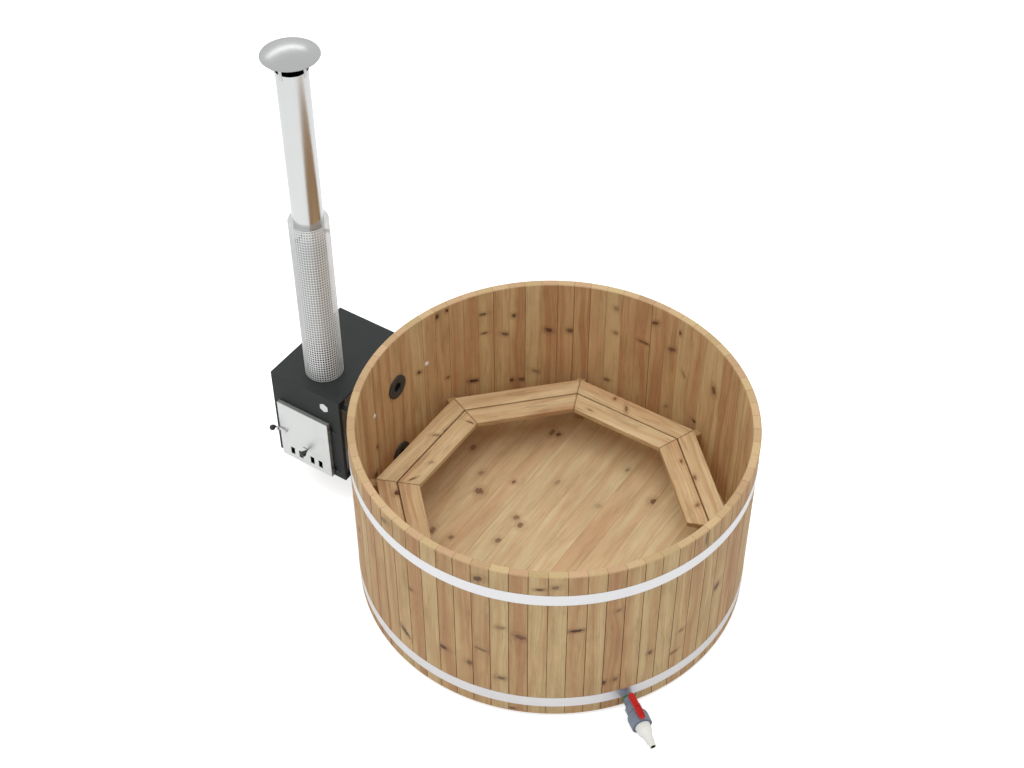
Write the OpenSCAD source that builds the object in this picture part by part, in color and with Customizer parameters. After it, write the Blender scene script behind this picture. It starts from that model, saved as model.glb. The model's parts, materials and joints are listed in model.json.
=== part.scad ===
// Wood-fired hot tub: a round tub of staves with a corner bench, a heater hung on its outside,
// a chimney and a floor drain with a lever valve.
// Millimetres, +Z up. The origin is on the ground under the centre of the tub.
// The heater stands off the -X side of the tub and its door faces -Y.

/* [Tub] */
// Outside radius of the staves
tub_r = 1000; // [960:5:1040]
// Thickness of a stave
stave_t = 40; // [36:1:46]
// Length of a stave
stave_len = 1040; // [1000:5:1100]
// Number of staves round the tub
stave_count = 70; // [66:2:74]
// Height of the lower stave ends above the ground
stave_lift = 20; // [18:1:30]
// Height of the floor's upper face above the lower stave ends
floor_rise = 115; // [110:1:130]
// Thickness of the floor boards
floor_t = 42; // [36:1:46]
// Number of floor boards across the tub
board_count = 18; // [14:2:22]
// Depth of the groove in the staves that holds the floor
groove_depth = 12; // [8:1:16]
// Width of a floor bearer
bearer_w = 48; // [40:1:60]
// Distance from one floor bearer to the next
bearer_spacing = 360; // [350:5:370]

/* [Hoops] */
// Width of a hoop band
hoop_w = 68; // [50:1:72]
// Thickness of a hoop band
hoop_t = 1.5; // [1:0.1:2]
// Lower hoop's edge above the lower stave ends
hoop_low = 64; // [63:1:80]
// Upper hoop's upper edge below the rim
hoop_high = 126; // [110:1:140]
// Gap between the two ends of a hoop
hoop_gap = 30; // [20:1:40]
// Radius of the hoop bolts
hoop_bolt_r = 5; // [4:0.5:6]

/* [Bench] */
// Seat height above the floor
bench_h = 285; // [260:5:300]
// Thickness of the seat planks
plank_t = 28; // [24:1:34]
// Distance from the tub's wall to the seat's inner edge
bench_depth = 320; // [300:5:340]
// Width of the inner seat planks
inner_plank_w = 106; // [90:1:106]
// Width of the outer seat planks
outer_plank_w = 98; // [80:1:100]
// Gap between the inner and the outer planks
plank_gap = 8; // [6:0.5:12]
// Thickness of a bench bracket
bracket_t = 45; // [36:1:50]

/* [Heater] */
// Gap between the tub and the heater
heater_gap = 108; // [100:1:120]
// Width of the heater away from the tub
heater_w = 442; // [430:1:460]
// Depth of the heater from its door to its back
heater_d = 596; // [580:2:620]
// Height of the heater
heater_h = 576; // [570:1:590]
// Height of the heater above the ground
heater_lift = 203; // [195:1:215]
// Thickness of the casing sheet
casing_t = 2; // [1.5:0.1:2.2]
// Gap between the casing and the water tank inside it
casing_gap = 8; // [7:0.5:9]
// How far the tank's face lies inside the open side of the casing
tank_recess = 25; // [20:1:30]
// Width of the lips round the open side of the casing
casing_lip = 22; // [16:1:24]
// Wall of the water tank
tank_t = 3; // [2.5:0.5:3.5]
// Wall of the firebox
firebox_t = 4; // [3:0.5:5]
// Height of the firebox roof below the top of the heater
roof_drop = 75; // [70:1:85]
// Outside radius of the water pipes
water_pipe_r = 28; // [24:0.5:28]
// Wall of the water pipes
water_pipe_t = 2; // [1.5:0.5:3]
// Height of the pipes inside the top and the bottom of the heater
pipe_inset = 38; // [38:0.5:44]
// Radius of the rubber flanges inside the tub
flange_r = 68; // [60:1:70]

/* [Door] */
// Width of the firebox door
door_w = 330; // [320:1:340]
// Height of the firebox door
door_h = 390; // [380:1:400]
// Thickness of the door body
door_t = 21; // [19:0.5:24]
// Thickness of the bright door skin
skin_t = 1.5; // [1:0.1:2]
// Gap between the door and the far side of the casing
door_side = 38; // [36:1:42]
// Width of one air hole
air_w = 26; // [22:1:27]
// Height of one air hole
air_h = 50; // [40:1:52]
// Distance between the holes of a pair
air_spacing = 55; // [54:0.5:58]
// Distance between the two inner holes
air_middle = 77; // [74:1:80]
// Angle through which the door opens
door_open = 110; // [90:5:115]
// Radius of a black ball knob
knob_r = 16; // [13:0.5:18]

/* [Chimney] */
// Outside radius of the chimney pipe
smoke_r = 76.5; // [74:0.5:78]
// Wall of the chimney pipe
smoke_t = 1.5; // [1:0.1:2]
// Height of the chimney pipe above the heater
smoke_h = 1861; // [1800:1:1900]
// Outside radius of the heat guard
guard_r = 100.4; // [98:0.2:106]
// Height of the heat guard
guard_h = 1000; // [950:5:1050]
// Radius of the rain cap
cap_r = 137.5; // [130:0.5:145]
// Rise of the rain cap's dome
cap_rise = 45; // [40:1:50]
// Gap between the chimney pipe and the cap's rim
cap_gap = 68; // [60:1:75]

/* [Drain] */
// Direction of the drain, counted from the +X side
drain_az = -35.75; // [-38:0.25:-34]
// Height of the drain pipe above the lower stave ends
drain_rise = 36; // [35:0.5:37]
// Outside radius of the drain pipe
drain_r = 25; // [24:0.5:25]
// Wall of the drain pipe
drain_t = 3; // [2:0.5:4]
// Distance from the tub's centre to the floor drain
drain_at = 780; // [760:5:800]
// Radius of the valve's union nut
nut_r = 52; // [48:0.5:52]
// Radius of the passage through the valve ball
ball_bore_r = 19; // [16:0.5:20]
// Radius of the valve ball
ball_r = 27; // [26:0.5:28]
// Length of the hose tail
tail_len = 124; // [110:1:135]
// Radius of the hose tail's end
tail_r = 17; // [15:0.5:19]

/* [Hidden] */
$fn = 72;
big_fn = 192;

// Clearances
seam = 0.3;          // between neighbouring staves, boards and planks
fit = 0.3;           // between pieces that are set against each other
slip = 0.1;          // radial, between a pipe and the pipe inside it
running = 0.05;      // radial, between a pin and the knuckle that turns on it
hole_gap = 0.5;      // radial, round a bolt or a tube in wood

// Tub
stave_step = 360 / stave_count;
inner_r = tub_r - stave_t;
rim_z = stave_lift + stave_len;
floor_z = stave_lift + floor_rise;
floor_under = floor_z - floor_t;
floor_r = inner_r + groove_depth - hole_gap;
board_w = 2 * floor_r / board_count;
rim_round = 4;
bearer_rows = 2;

// Hoops
hoop_joint_az = 115;
lug_t = 12;
lug_out = 30;
hoop_in = tub_r + fit;
hoop_bolt_at = tub_r + lug_out - 12;
hoop_bolt_len = hoop_gap + 4 * lug_t;
lower_hoop_z = stave_lift + hoop_low;
upper_hoop_z = rim_z - hoop_high - hoop_w;

// Bench: five sides of a regular octagon, one of them facing the heater
seat_z = floor_z + bench_h;
octagon_half = 22.5;
bench_sides = [45, 90, 135, 180, 225];
bracket_dirs = [26, 67.5, 112.5, 157.5, 202.5, 244];
bench_inner = inner_r - bench_depth;
outer_inner = bench_inner + inner_plank_w + plank_gap;
bench_outer = outer_inner + outer_plank_w;
bracket_rail = 50;
bracket_post = 60;
bracket_toe = 52;
bracket_brace = 60;

// Heater
x_near = -(tub_r + heater_gap);
x_far = x_near - heater_w;
y_front = -heater_d / 2;
y_back = heater_d / 2;
z_base = heater_lift;
z_top = heater_lift + heater_h;
tank_x0 = x_far + casing_t + casing_gap;
tank_x1 = x_near - tank_recess;
frame_t = 6;
tank_y0 = y_front + casing_t + frame_t;
tank_y1 = y_back - casing_t - casing_gap;
tank_z0 = z_base + casing_t;
tank_z1 = z_top - casing_t - casing_gap / 2;
door_x0 = x_far + door_side;
door_x1 = door_x0 + door_w;
door_z0 = z_base + 5;
door_z1 = door_z0 + door_h;
door_mid_x = (door_x0 + door_x1) / 2;
mouth_side = 22;
mouth_x0 = door_x0 + mouth_side;
mouth_x1 = door_x1 - mouth_side;
mouth_z0 = door_z0 + 20;
mouth_z1 = door_z1 - 20;
fire_z0 = tank_z0 + tank_t + firebox_t;
fire_z1 = z_top - roof_drop;
back_water = 69;
fire_y1 = tank_y1 - tank_t - back_water - firebox_t;
ash_h = 88;
grate_z = fire_z0 + ash_h;
grate_t = 16;
grate_bars = 9;
grate_bar_w = 18;
baffle_back = 140;
baffle_drop = 50;
upper_pipe_z = z_top - pipe_inset;
lower_pipe_z = z_base + pipe_inset;
pipe_heights = [lower_pipe_z, upper_pipe_z];
sleeve_r = water_pipe_r + 4;
flange_t = 9;
flange_face_x = -sqrt(inner_r * inner_r - flange_r * flange_r) + flange_t;

// Brackets that hang the heater on the tub
bolt_side = 240;
bolt_az = asin(bolt_side / tub_r);
bolt_z = z_top - 44;
bolt_r = 5;
bolt_head_r = 12;
washer_t = 2;
plate_t = 5;
bracket_h = 40;
plate_half = 26;
bracket_out = tub_r + fit + plate_t;

// Door
panel_y0 = y_front - 1.5 - door_t;
panel_y1 = y_front - 1.5;
skin_y = panel_y0 - skin_t;
rim_w = 12;
sheet_t = 2;
air_z = door_z0 + 57;
air_xs = [for (side = [-1, 1], n = [0, 1]) door_mid_x + side * (air_middle / 2 + n * air_spacing)];
damper_travel = air_spacing / 2;
damper_stem_x = door_mid_x + damper_travel / 2;
damper_stem_z = air_z + air_h / 2 + 45;
damper_stem_r = 3;
damper_knob_y = skin_y - 38;
slot_gap = 0.6;
rail_t = 3;
slide_z0 = air_z - air_h / 2 - 10;
slide_z1 = damper_stem_z + 9;
slide_x0 = air_xs[1] - air_w / 2 - 8;
slide_x1 = air_xs[3] + air_w / 2 + 8;
board_z0 = slide_z1 + rail_t + 8;
hinge_r = 6.5;
hinge_pin_r = 3;
hinge_x = door_x1 + hinge_r + 1.5;
hinge_y = panel_y0 + door_t / 2;
hinge_half = 18;
hinge_zs = [door_z0 + 48, door_z1 - 48];
leaf_t = 3;
latch_x = door_x0 + 42;
latch_z = door_z0 + door_h / 2;
latch_bar_w = 18;
latch_bar_t = 5;
latch_bar_y = skin_y - 4 - latch_bar_t;
latch_len = 77;
latch_stud_r = 4;
knob_pin_r = 4;
knob_out = 14;
knob_x = latch_x - latch_len;
keeper_x = door_x0 - 10;
keeper_w = 12;
keeper_lip = 12;
badge_r = 29;
badge_t = 2;

// Chimney
smoke_x = door_mid_x + 19;
smoke_back = 172;
smoke_y = y_front + smoke_back;
collar_r = smoke_r - 2 * (smoke_t + slip);
collar_t = 2.5;
collar_seat = 3;
lower_smoke_r = smoke_r - smoke_t - slip;
smoke_z0 = z_top + collar_seat;
smoke_z1 = z_top + smoke_h;
joint_z = z_top + guard_h - 40;
joint_lap = 50;
guard_t = 1;
spacer_levels = [z_top + 60, joint_z - joint_lap + 10];
spacer_h = 20;
cap_t = 1.2;
cap_z = smoke_z1 + cap_gap;
dome_r = (cap_r * cap_r + cap_rise * cap_rise) / (2 * cap_rise);
dome_z = cap_z + cap_rise - dome_r;
band_h = 25;
band_t = 1.8;
leg_w = 18;
leg_t = 2;
cap_bolt_az = 205;
cap_bolt_r = 3;
cap_ear = 16;

// Drain
drain_z = stave_lift + drain_rise;
seal_step = fit + hoop_t + fit;
collar_u = 8;        // along the valve, outwards from the tub
neck_u = 34;
body_u = 50;
valve_u = 74;        // where the valve stem stands
nut_u = 98;
thread_u = 140;
nut_lip_u = 164;
nut_end_u = 172;
nut_recess = 6;
stub_u = 196;
body_r = 40;
thread_r = body_r - 3;
stub_r = 30;
passage_r = 22;
hose_bore_r = 10;
stem_r = 8;
boss_top = drain_z + nut_r + 1;
lever_z = boss_top + 7;
lever_t = 10;
lever_w = 32;

// ---- shared shapes ----

module box(from, to) {
    translate(from) cube(to - from);
}

module tube(outer, inner, z0, z1) {
    translate([0, 0, z0]) difference() {
        cylinder(r = outer, h = z1 - z0);
        translate([0, 0, -1]) cylinder(r = inner, h = z1 - z0 + 2);
    }
}

// Puts a shape drawn on the ground at azimuth az and distance r from the tub's centre
module around(az, r = 0, z = 0) {
    rotate([0, 0, az]) translate([r, 0, z]) children();
}

// A cylinder along X from x0 to x1
module rod_x(r, x0, x1, y = 0, z = 0) {
    translate([x0, y, z]) rotate([0, 90, 0]) cylinder(r = r, h = x1 - x0);
}

// A cylinder along Y from y0 to y1
module rod_y(r, y0, y1, x = 0, z = 0) {
    translate([x, y0, z]) rotate([-90, 0, 0]) cylinder(r = r, h = y1 - y0);
}

module box_shell(from, to, wall, open_front = false) {
    front = open_front ? 1 : -wall;
    difference() {
        box(from, to);
        box([from[0] + wall, from[1] - front, from[2] + wall], [to[0] - wall, to[1] - wall, to[2] - wall]);
    }
}

// ---- tub ----

module stave_profile() {
    difference() {
        polygon([
            [inner_r, stave_lift], [tub_r, stave_lift],
            [tub_r, rim_z - rim_round], [tub_r - rim_round, rim_z],
            [inner_r + rim_round, rim_z], [inner_r, rim_z - rim_round]
        ]);
        translate([inner_r - 1, floor_under - hole_gap])
            square([groove_depth + 1, floor_t + 2 * hole_gap]);
    }
}

module stave(i) {
    turn = stave_step - seam / tub_r * 180 / PI;
    rotate([0, 0, i * stave_step - turn / 2])
        rotate_extrude(angle = turn, $fn = big_fn) stave_profile();
}

// The staves whose middle lies within a quarter turn centred on side * 90 degrees
module stave_quarter(side) {
    for (i = [0:stave_count - 1])
        if (floor(((i * stave_step + 45) % 360) / 90) == side) stave(i);
}

module pipe_holes() {
    for (z = pipe_heights) rod_x(sleeve_r + fit, -tub_r - 20, -inner_r + 40, 0, z);
}

module bolt_holes(extra = hole_gap) {
    for (side = [-1, 1])
        around(180 + side * bolt_az, 0, bolt_z) rod_x(bolt_r + extra, inner_r - 20, tub_r + 20);
}

module staves_heater_side() {
    color("burlywood") difference() {
        stave_quarter(2);
        pipe_holes();
        bolt_holes();
    }
}

module staves_back() {
    color("burlywood") stave_quarter(1);
}

module staves_drain_side() {
    color("burlywood") difference() {
        stave_quarter(0);
        around(drain_az, 0, drain_z) rod_x(drain_r + hole_gap, inner_r - 20, tub_r + 20);
    }
}

module staves_front() {
    color("burlywood") stave_quarter(3);
}

module hoop(z) {
    half_gap = hoop_gap / 2 / tub_r * 180 / PI;
    difference() {
        union() {
            around(hoop_joint_az + half_gap, 0, z)
                rotate_extrude(angle = 360 - 2 * half_gap, $fn = big_fn)
                    translate([hoop_in, 0]) square([hoop_t, hoop_w]);
            for (side = [-1, 1])
                around(hoop_joint_az, 0, z) {
                    near = side > 0 ? hoop_gap / 2 : -hoop_gap / 2 - lug_t;
                    translate([hoop_in + 0.2, near, 4]) cube([lug_out, lug_t, hoop_w - 8]);
                }
        }
        for (bolt_row = [0.28, 0.72])
            around(hoop_joint_az, 0, z)
                rod_y(hoop_bolt_r + hole_gap, -hoop_bolt_len, hoop_bolt_len, hoop_bolt_at, hoop_w * bolt_row);
    }
}

module upper_hoop() {
    color("gainsboro") hoop(upper_hoop_z);
}

module lower_hoop() {
    color("gainsboro") hoop(lower_hoop_z);
}

// Places its children at each hoop bolt, with Y along the bolt
module at_hoop_bolts() {
    for (z = [lower_hoop_z, upper_hoop_z], bolt_row = [0.28, 0.72])
        around(hoop_joint_az, hoop_bolt_at, z + hoop_w * bolt_row) children();
}

module hoop_bolts() {
    head = hoop_gap / 2 + lug_t + fit;
    color("silver") at_hoop_bolts() {
        rod_y(hoop_bolt_r, -head, hoop_bolt_len / 2 + 6);
        translate([0, -head, 0]) rotate([90, 0, 0]) cylinder(r = hoop_bolt_r * 1.7, h = 6, $fn = 6);
    }
}

module hoop_nuts() {
    seat = hoop_gap / 2 + lug_t + fit;
    color("silver") at_hoop_bolts() translate([0, seat, 0]) rotate([-90, 0, 0]) difference() {
        cylinder(r = hoop_bolt_r * 1.7, h = 8, $fn = 6);
        translate([0, 0, -1]) cylinder(r = hoop_bolt_r + slip, h = 10);
    }
}

// Boards run along Y, from one side of the groove to the other
module floor_boards() {
    color("burlywood") difference() {
        for (i = [0:board_count - 1])
            intersection() {
                translate([0, 0, floor_under]) cylinder(r = floor_r, h = floor_t, $fn = big_fn);
                box([-floor_r + i * board_w + seam / 2, -floor_r - 1, floor_under - 1],
                    [-floor_r + (i + 1) * board_w - seam / 2, floor_r + 1, floor_z + 1]);
            }
        around(drain_az, drain_at, floor_under - 1) cylinder(r = drain_r + hole_gap, h = floor_t + 2);
    }
}

module floor_bearers() {
    reach = inner_r - 3;
    color("peru") for (row = [-bearer_rows:bearer_rows]) {
        y = row * bearer_spacing;
        half = sqrt(reach * reach - pow(abs(y) + bearer_w / 2, 2));
        box([-half, y - bearer_w / 2, 0], [half, y + bearer_w / 2, floor_under]);
    }
}

// ---- bench ----

module bench_ring(near, far) {
    for (az = bench_sides)
        rotate([0, 0, az]) translate([0, 0, seat_z - plank_t]) linear_extrude(height = plank_t) polygon([
            [near, -near * tan(octagon_half) + seam], [far, -far * tan(octagon_half) + seam],
            [far, far * tan(octagon_half) - seam], [near, near * tan(octagon_half) - seam]
        ]);
}

module bench_inner_planks() {
    color("burlywood") bench_ring(bench_inner, bench_inner + inner_plank_w);
}

module bench_outer_planks() {
    color("burlywood") bench_ring(outer_inner, bench_outer);
}

// An upright board that stands on the floor against the staves and reaches in under the planks
module bench_brackets() {
    wall_side = sqrt(pow(inner_r - fit, 2) - pow(bracket_t / 2, 2));
    rail_in = bench_inner / cos(octagon_half) + bracket_toe;
    top = seat_z - plank_t;
    post_in = wall_side - bracket_post;
    color("tan") for (az = bracket_dirs)
        rotate([0, 0, az]) rotate([90, 0, 0]) translate([0, 0, -bracket_t / 2])
            linear_extrude(height = bracket_t) polygon([
                [wall_side, floor_z], [wall_side, top], [rail_in, top], [rail_in, top - bracket_rail],
                [post_in - bracket_brace, top - bracket_rail], [post_in, top - bracket_rail - bracket_brace],
                [post_in, floor_z]
            ]);
}

// ---- drain ----

module floor_drain() {
    flange = drain_r + 20;
    color("gainsboro") around(drain_az, drain_at) difference() {
        union() {
            translate([0, 0, floor_z]) cylinder(r = flange, h = 4);
            translate([0, 0, floor_under - 2]) cylinder(r = drain_r, h = floor_t + 3);
        }
        translate([0, 0, floor_under - 3]) cylinder(r = drain_r - drain_t, h = floor_t + 4);
        for (az = [0:60:300]) rotate([0, 0, az]) translate([11, -2, floor_z - 1]) cube([8, 4, 8]);
        translate([0, 0, floor_z - 1]) cylinder(r = 4, h = 8);
    }
}

module drain_run(r) {
    cylinder(r = r, h = floor_under - 2 - drain_z);
    sphere(r = r);
    rod_x(r, 0, tub_r - drain_at + neck_u);
}

module drain_pipe() {
    color("slategray") around(drain_az, drain_at, drain_z) difference() {
        drain_run(drain_r);
        union() {
            cylinder(r = drain_r - drain_t, h = floor_under - drain_z);
            sphere(r = drain_r - drain_t);
            rod_x(drain_r - drain_t, 0, tub_r - drain_at + neck_u + 1);
        }
    }
}

// Fills the gap round the pipe under the lower hoop and spreads outside it
module wall_seal() {
    color("seagreen") around(drain_az, tub_r, drain_z) rotate([0, 90, 0]) difference() {
        union() {
            cylinder(r = drain_r + 1.5, h = collar_u - seal_step);
            translate([0, 0, seal_step]) cylinder(r = drain_r + 5, h = collar_u - seal_step);
        }
        translate([0, 0, -1]) cylinder(r = drain_r + slip, h = collar_u + 2);
    }
}

// The fixed part of the valve: socket, body round the ball, and the threaded end under the nut
module valve_body() {
    color("slategray") around(drain_az, tub_r, drain_z) difference() {
        union() {
            rod_x(drain_r + 4, collar_u + fit, neck_u);
            rod_x(drain_r + 2, neck_u - 1, body_u + 4);
            rotate([0, 90, 0]) rotate_extrude() polygon([
                [0, body_u], [body_r - 6, body_u], [body_r, body_u + 8], [body_r, nut_u - 12],
                [thread_r, nut_u - 8], [thread_r, thread_u], [0, thread_u]
            ]);
            translate([valve_u, 0, 0]) cylinder(r = stem_r + 9, h = boss_top - drain_z);
        }
        rod_x(drain_r + slip, -1, neck_u + fit);
        rod_x(ball_bore_r, 0, thread_u + 1);
        translate([valve_u, 0, 0]) sphere(r = ball_r + fit);
        translate([valve_u, 0, 0]) cylinder(r = stem_r + running, h = boss_top - drain_z + 1);
    }
}

module union_nut() {
    color("lightslategray") around(drain_az, tub_r, drain_z) rotate([0, 90, 0]) difference() {
        union() {
            rotate_extrude() polygon([
                [0, nut_u], [nut_r - 8, nut_u], [nut_r - 2, nut_u + 10], [nut_r, nut_u + 24],
                [nut_r, nut_end_u - 2], [nut_r - 2, nut_end_u], [0, nut_end_u]
            ]);
            for (rib = [0:15:345]) rotate([0, 0, rib]) translate([nut_r - 3, -2, nut_u + 26])
                cube([4.5, 4, nut_end_u - nut_u - 34]);
        }
        translate([0, 0, nut_u - 1]) cylinder(r = thread_r + fit, h = nut_lip_u - nut_u + 1);
        translate([0, 0, nut_u]) cylinder(r = stub_r + fit, h = nut_end_u);
        translate([0, 0, nut_end_u - nut_recess]) tube(nut_r - 3, stub_r + 9, 0, nut_recess + 1);
    }
}

// The nut pulls this end's flange against the valve; the hose tail is pushed on its stub
module union_end() {
    color("slategray") around(drain_az, tub_r, drain_z) rotate([0, 90, 0]) difference() {
        union() {
            translate([0, 0, thread_u + fit]) cylinder(r = thread_r - 1, h = nut_lip_u - thread_u - 2 * fit);
            translate([0, 0, thread_u + fit]) cylinder(r = stub_r, h = stub_u - thread_u - fit);
        }
        translate([0, 0, thread_u]) cylinder(r = passage_r, h = stub_u);
    }
}

module hose_tail() {
    base = nut_end_u + fit;
    end = base + tail_len;
    color("whitesmoke") around(drain_az, tub_r, drain_z) rotate([0, 90, 0]) difference() {
        rotate_extrude() polygon([
            [0, base], [38, base], [38, base + 6], [36, base + 33], [24, base + 62], [tail_r + 3, end - 30],
            [tail_r + 3, end - 25], [tail_r, end - 25], [tail_r, end], [0, end]
        ]);
        translate([0, 0, base - 1]) cylinder(r = stub_r + slip, h = stub_u + fit - base + 1);
        translate([0, 0, stub_u - 1]) cylinder(r1 = passage_r, r2 = hose_bore_r, h = 30);
        translate([0, 0, stub_u]) cylinder(r = hose_bore_r, h = tail_len);
    }
}

module at_valve() {
    around(drain_az, tub_r + valve_u, drain_z) children();
}

module valve_ball() {
    color("gainsboro") at_valve() difference() {
        sphere(r = ball_r);
        rod_x(ball_bore_r, -ball_r, ball_r);
        translate([-3 - slip, -12, ball_r - 4]) cube([6 + 2 * slip, 24, 6]);
    }
}

// A tongue in the ball's slot, the shaft, and a screw head over the lever
module valve_stem() {
    color("dimgray") at_valve() union() {
        translate([0, 0, ball_r + fit]) cylinder(r = stem_r, h = lever_z + 6 - drain_z - ball_r - fit);
        translate([-3, -7, ball_r - 4 + slip]) cube([6, 14, 6]);
        translate([0, 0, lever_z - drain_z]) cylinder(r = 3, h = lever_t + 2);
        translate([0, 0, lever_z + lever_t + slip - drain_z]) cylinder(r = 6, h = 4);
    }
}

// The lever lies along the valve at rest and its long end points away from the tub
module valve_lever() {
    half = lever_w / 2;
    color("firebrick") at_valve() translate([0, 0, lever_z - drain_z]) difference() {
        union() {
            linear_extrude(height = lever_t) polygon([
                [-54, -half / 2], [-54, half / 2], [-40, half], [72, half], [98, half - 4],
                [98, 4 - half], [72, -half], [-40, -half]
            ]);
            translate([0, 0, -6]) cylinder(r = stem_r + 7, h = 7);
        }
        translate([0, 0, -8]) cylinder(r = stem_r + slip, h = 14 + slip);
        translate([0, 0, -8]) cylinder(r = 3 + slip, h = 20);
        translate([24, 5 - half, 5]) cube([60, lever_w - 10, 6]);
    }
}

// ---- heater ----

// The door opening in the casing and the frame behind it
module mouth(y0, y1) {
    box([mouth_x0, y0, mouth_z0], [mouth_x1, y1, mouth_z1]);
}

module flue_hole(r, z0, z1) {
    translate([smoke_x, smoke_y, z0]) cylinder(r = r, h = z1 - z0);
}

module heater_casing() {
    top_lip = pipe_inset - water_pipe_r - 2;
    color("darkslategray") difference() {
        box_shell([x_far, y_front, z_base], [x_near, y_back, z_top], casing_t);
        box([x_near - tank_recess, y_front + casing_lip, z_base + top_lip],
            [x_near + 1, y_back - casing_lip, z_top - top_lip]);
        mouth(y_front - 1, y_front + casing_t + 1);
        flue_hole(collar_r + hole_gap, z_top - 10, z_top + 1);
        at_casing_screws(y_front - 1) rod_y(2.5, 0, 10);
    }
}

module water_tank() {
    color("lightgray") difference() {
        box_shell([tank_x0, tank_y0, tank_z0], [tank_x1, tank_y1, tank_z1], tank_t, open_front = true);
        flue_hole(collar_r + slip, tank_z1 - 10, tank_z1 + 1);
        for (z = pipe_heights) rod_x(water_pipe_r + slip, tank_x1 - 10, tank_x1 + 1, 0, z);
    }
}

// Closes the water space at the front, round the mouth of the firebox
module front_frame() {
    color("dimgray") difference() {
        box([tank_x0, tank_y0 - frame_t, tank_z0], [tank_x1, tank_y0, tank_z1]);
        mouth(tank_y0 - frame_t - 1, tank_y0 + 1);
    }
}

module firebox() {
    from = [mouth_x0 - firebox_t, tank_y0, fire_z0 - firebox_t];
    to = [mouth_x1 + firebox_t, fire_y1 + firebox_t, fire_z1 + firebox_t];
    color("gray") difference() {
        box_shell(from, to, firebox_t, open_front = true);
        flue_hole(collar_r + slip, fire_z1 - 1, fire_z1 + 10);
    }
}

// Cast bars across two end rails, resting on four feet
module fire_grate() {
    pitch = (mouth_x1 - mouth_x0 - 20 - grate_bar_w) / (grate_bars - 1);
    x0 = mouth_x0 + 10;
    y0 = tank_y0 + 12;
    y1 = fire_y1 - 12;
    color("black") union() {
        for (i = [0:grate_bars - 1])
            box([x0 + i * pitch, y0, grate_z], [x0 + i * pitch + grate_bar_w, y1, grate_z + grate_t]);
        for (y = [y0, y1 - 24]) {
            box([x0, y, grate_z], [x0 + (grate_bars - 1) * pitch + grate_bar_w, y + 24, grate_z + grate_t]);
            for (x = [x0, x0 + (grate_bars - 1) * pitch])
                box([x, y, fire_z0], [x + grate_bar_w, y + 24, grate_z]);
        }
    }
}

// A plate under the flue that turns the smoke round its front edge; its folded sides hang it from the roof
module baffle_plate() {
    x0 = mouth_x0 + 2;
    x1 = mouth_x1 - 2;
    y0 = tank_y0 + baffle_back;
    z = fire_z1 - baffle_drop;
    color("dimgray") union() {
        box([x0, y0, z], [x1, fire_y1 - fit, z + 5]);
        for (x = [x0, x1 - 4]) box([x, y0, z], [x + 4, fire_y1 - fit, fire_z1]);
    }
}

module flue_collar() {
    color("dimgray") translate([smoke_x, smoke_y, 0]) difference() {
        translate([0, 0, fire_z1]) cylinder(r = collar_r, h = z_top + 60 - fire_z1);
        translate([0, 0, fire_z1 - 1]) cylinder(r = collar_r - collar_t, h = z_top + 63 - fire_z1);
    }
}

// Flat ring on the heater's top that the lower smoke pipe stands on
module guard_seat() {
    color("gray") translate([smoke_x, smoke_y, 0]) difference() {
        translate([0, 0, z_top]) cylinder(r = guard_r - 6, h = collar_seat);
        translate([0, 0, z_top - 1]) cylinder(r = collar_r + slip, h = collar_seat + 2);
    }
}

module water_pipes() {
    color("darkgray") for (z = pipe_heights) translate([0, 0, z]) rotate([0, 90, 0])
        tube(water_pipe_r, water_pipe_r - water_pipe_t, tank_x1 - tank_t - 4, flange_face_x - 4);
}

// Rubber seals: a sleeve through the wall with a broad flange that follows the staves inside the tub
module pipe_flanges() {
    color("black") for (z = pipe_heights) difference() {
        union() {
            rod_x(sleeve_r, -tub_r - 34, flange_face_x, 0, z);
            intersection() {
                rod_x(flange_r, -inner_r, flange_face_x, 0, z);
                translate([0, 0, z - flange_r - 1])
                    cylinder(r = inner_r - fit, h = 2 * flange_r + 2, $fn = big_fn);
            }
            rod_x(sleeve_r + 6, -tub_r - 12, -tub_r - fit, 0, z);
        }
        rod_x(water_pipe_r + slip, -tub_r - 40, flange_face_x + 1, 0, z);
        translate([flange_face_x - 3, 0, z]) rotate([0, 90, 0])
            cylinder(r1 = water_pipe_r + slip, r2 = water_pipe_r + 5, h = 4);
    }
}

// Each bracket is a plate on the tub, an arm, and a plate on the tank
module heater_brackets() {
    color("dimgray") for (side = [-1, 1]) difference() {
        union() {
            translate([0, 0, bolt_z - bracket_h / 2]) linear_extrude(height = bracket_h) {
                rotate([0, 0, 180 - side * bolt_az]) translate([tub_r + fit, -plate_half])
                    square([plate_t, 2 * plate_half]);
                polygon([for (p = bracket_arm()) [p[0], side * p[1]]]);
            }
        }
        around(180 - side * bolt_az, 0, bolt_z) rod_x(bolt_r + hole_gap, tub_r - 20, tub_r + 40);
    }
}

// Plan of the arm on the +Y side: it starts in the plate's outer end and ends on the tank's face
function bracket_arm() =
    let (
        az = 180 - bolt_az,
        out = plate_half,
        arm_x = bracket_out * cos(az) + out * sin(az) + 2,
        arm_y = bracket_out * sin(az) - out * cos(az)
    )
    [
        [arm_x, arm_y - plate_t], [arm_x, arm_y],
        [tank_x1, arm_y], [tank_x1, arm_y - 44],
        [tank_x1 + plate_t, arm_y - 44], [tank_x1 + plate_t, arm_y - plate_t]
    ];

module bracket_bolts() {
    color("silver") for (side = [-1, 1]) around(180 + side * bolt_az, 0, bolt_z) {
        rod_x(bolt_r, inner_r - 4, bracket_out + washer_t + 14);
        rod_x(bolt_head_r + 3, inner_r - fit - washer_t, inner_r - fit);
        translate([inner_r - fit - washer_t, 0, 0]) rotate([0, -90, 0]) cylinder(r1 = bolt_head_r, r2 = 7, h = 5);
    }
}

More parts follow.
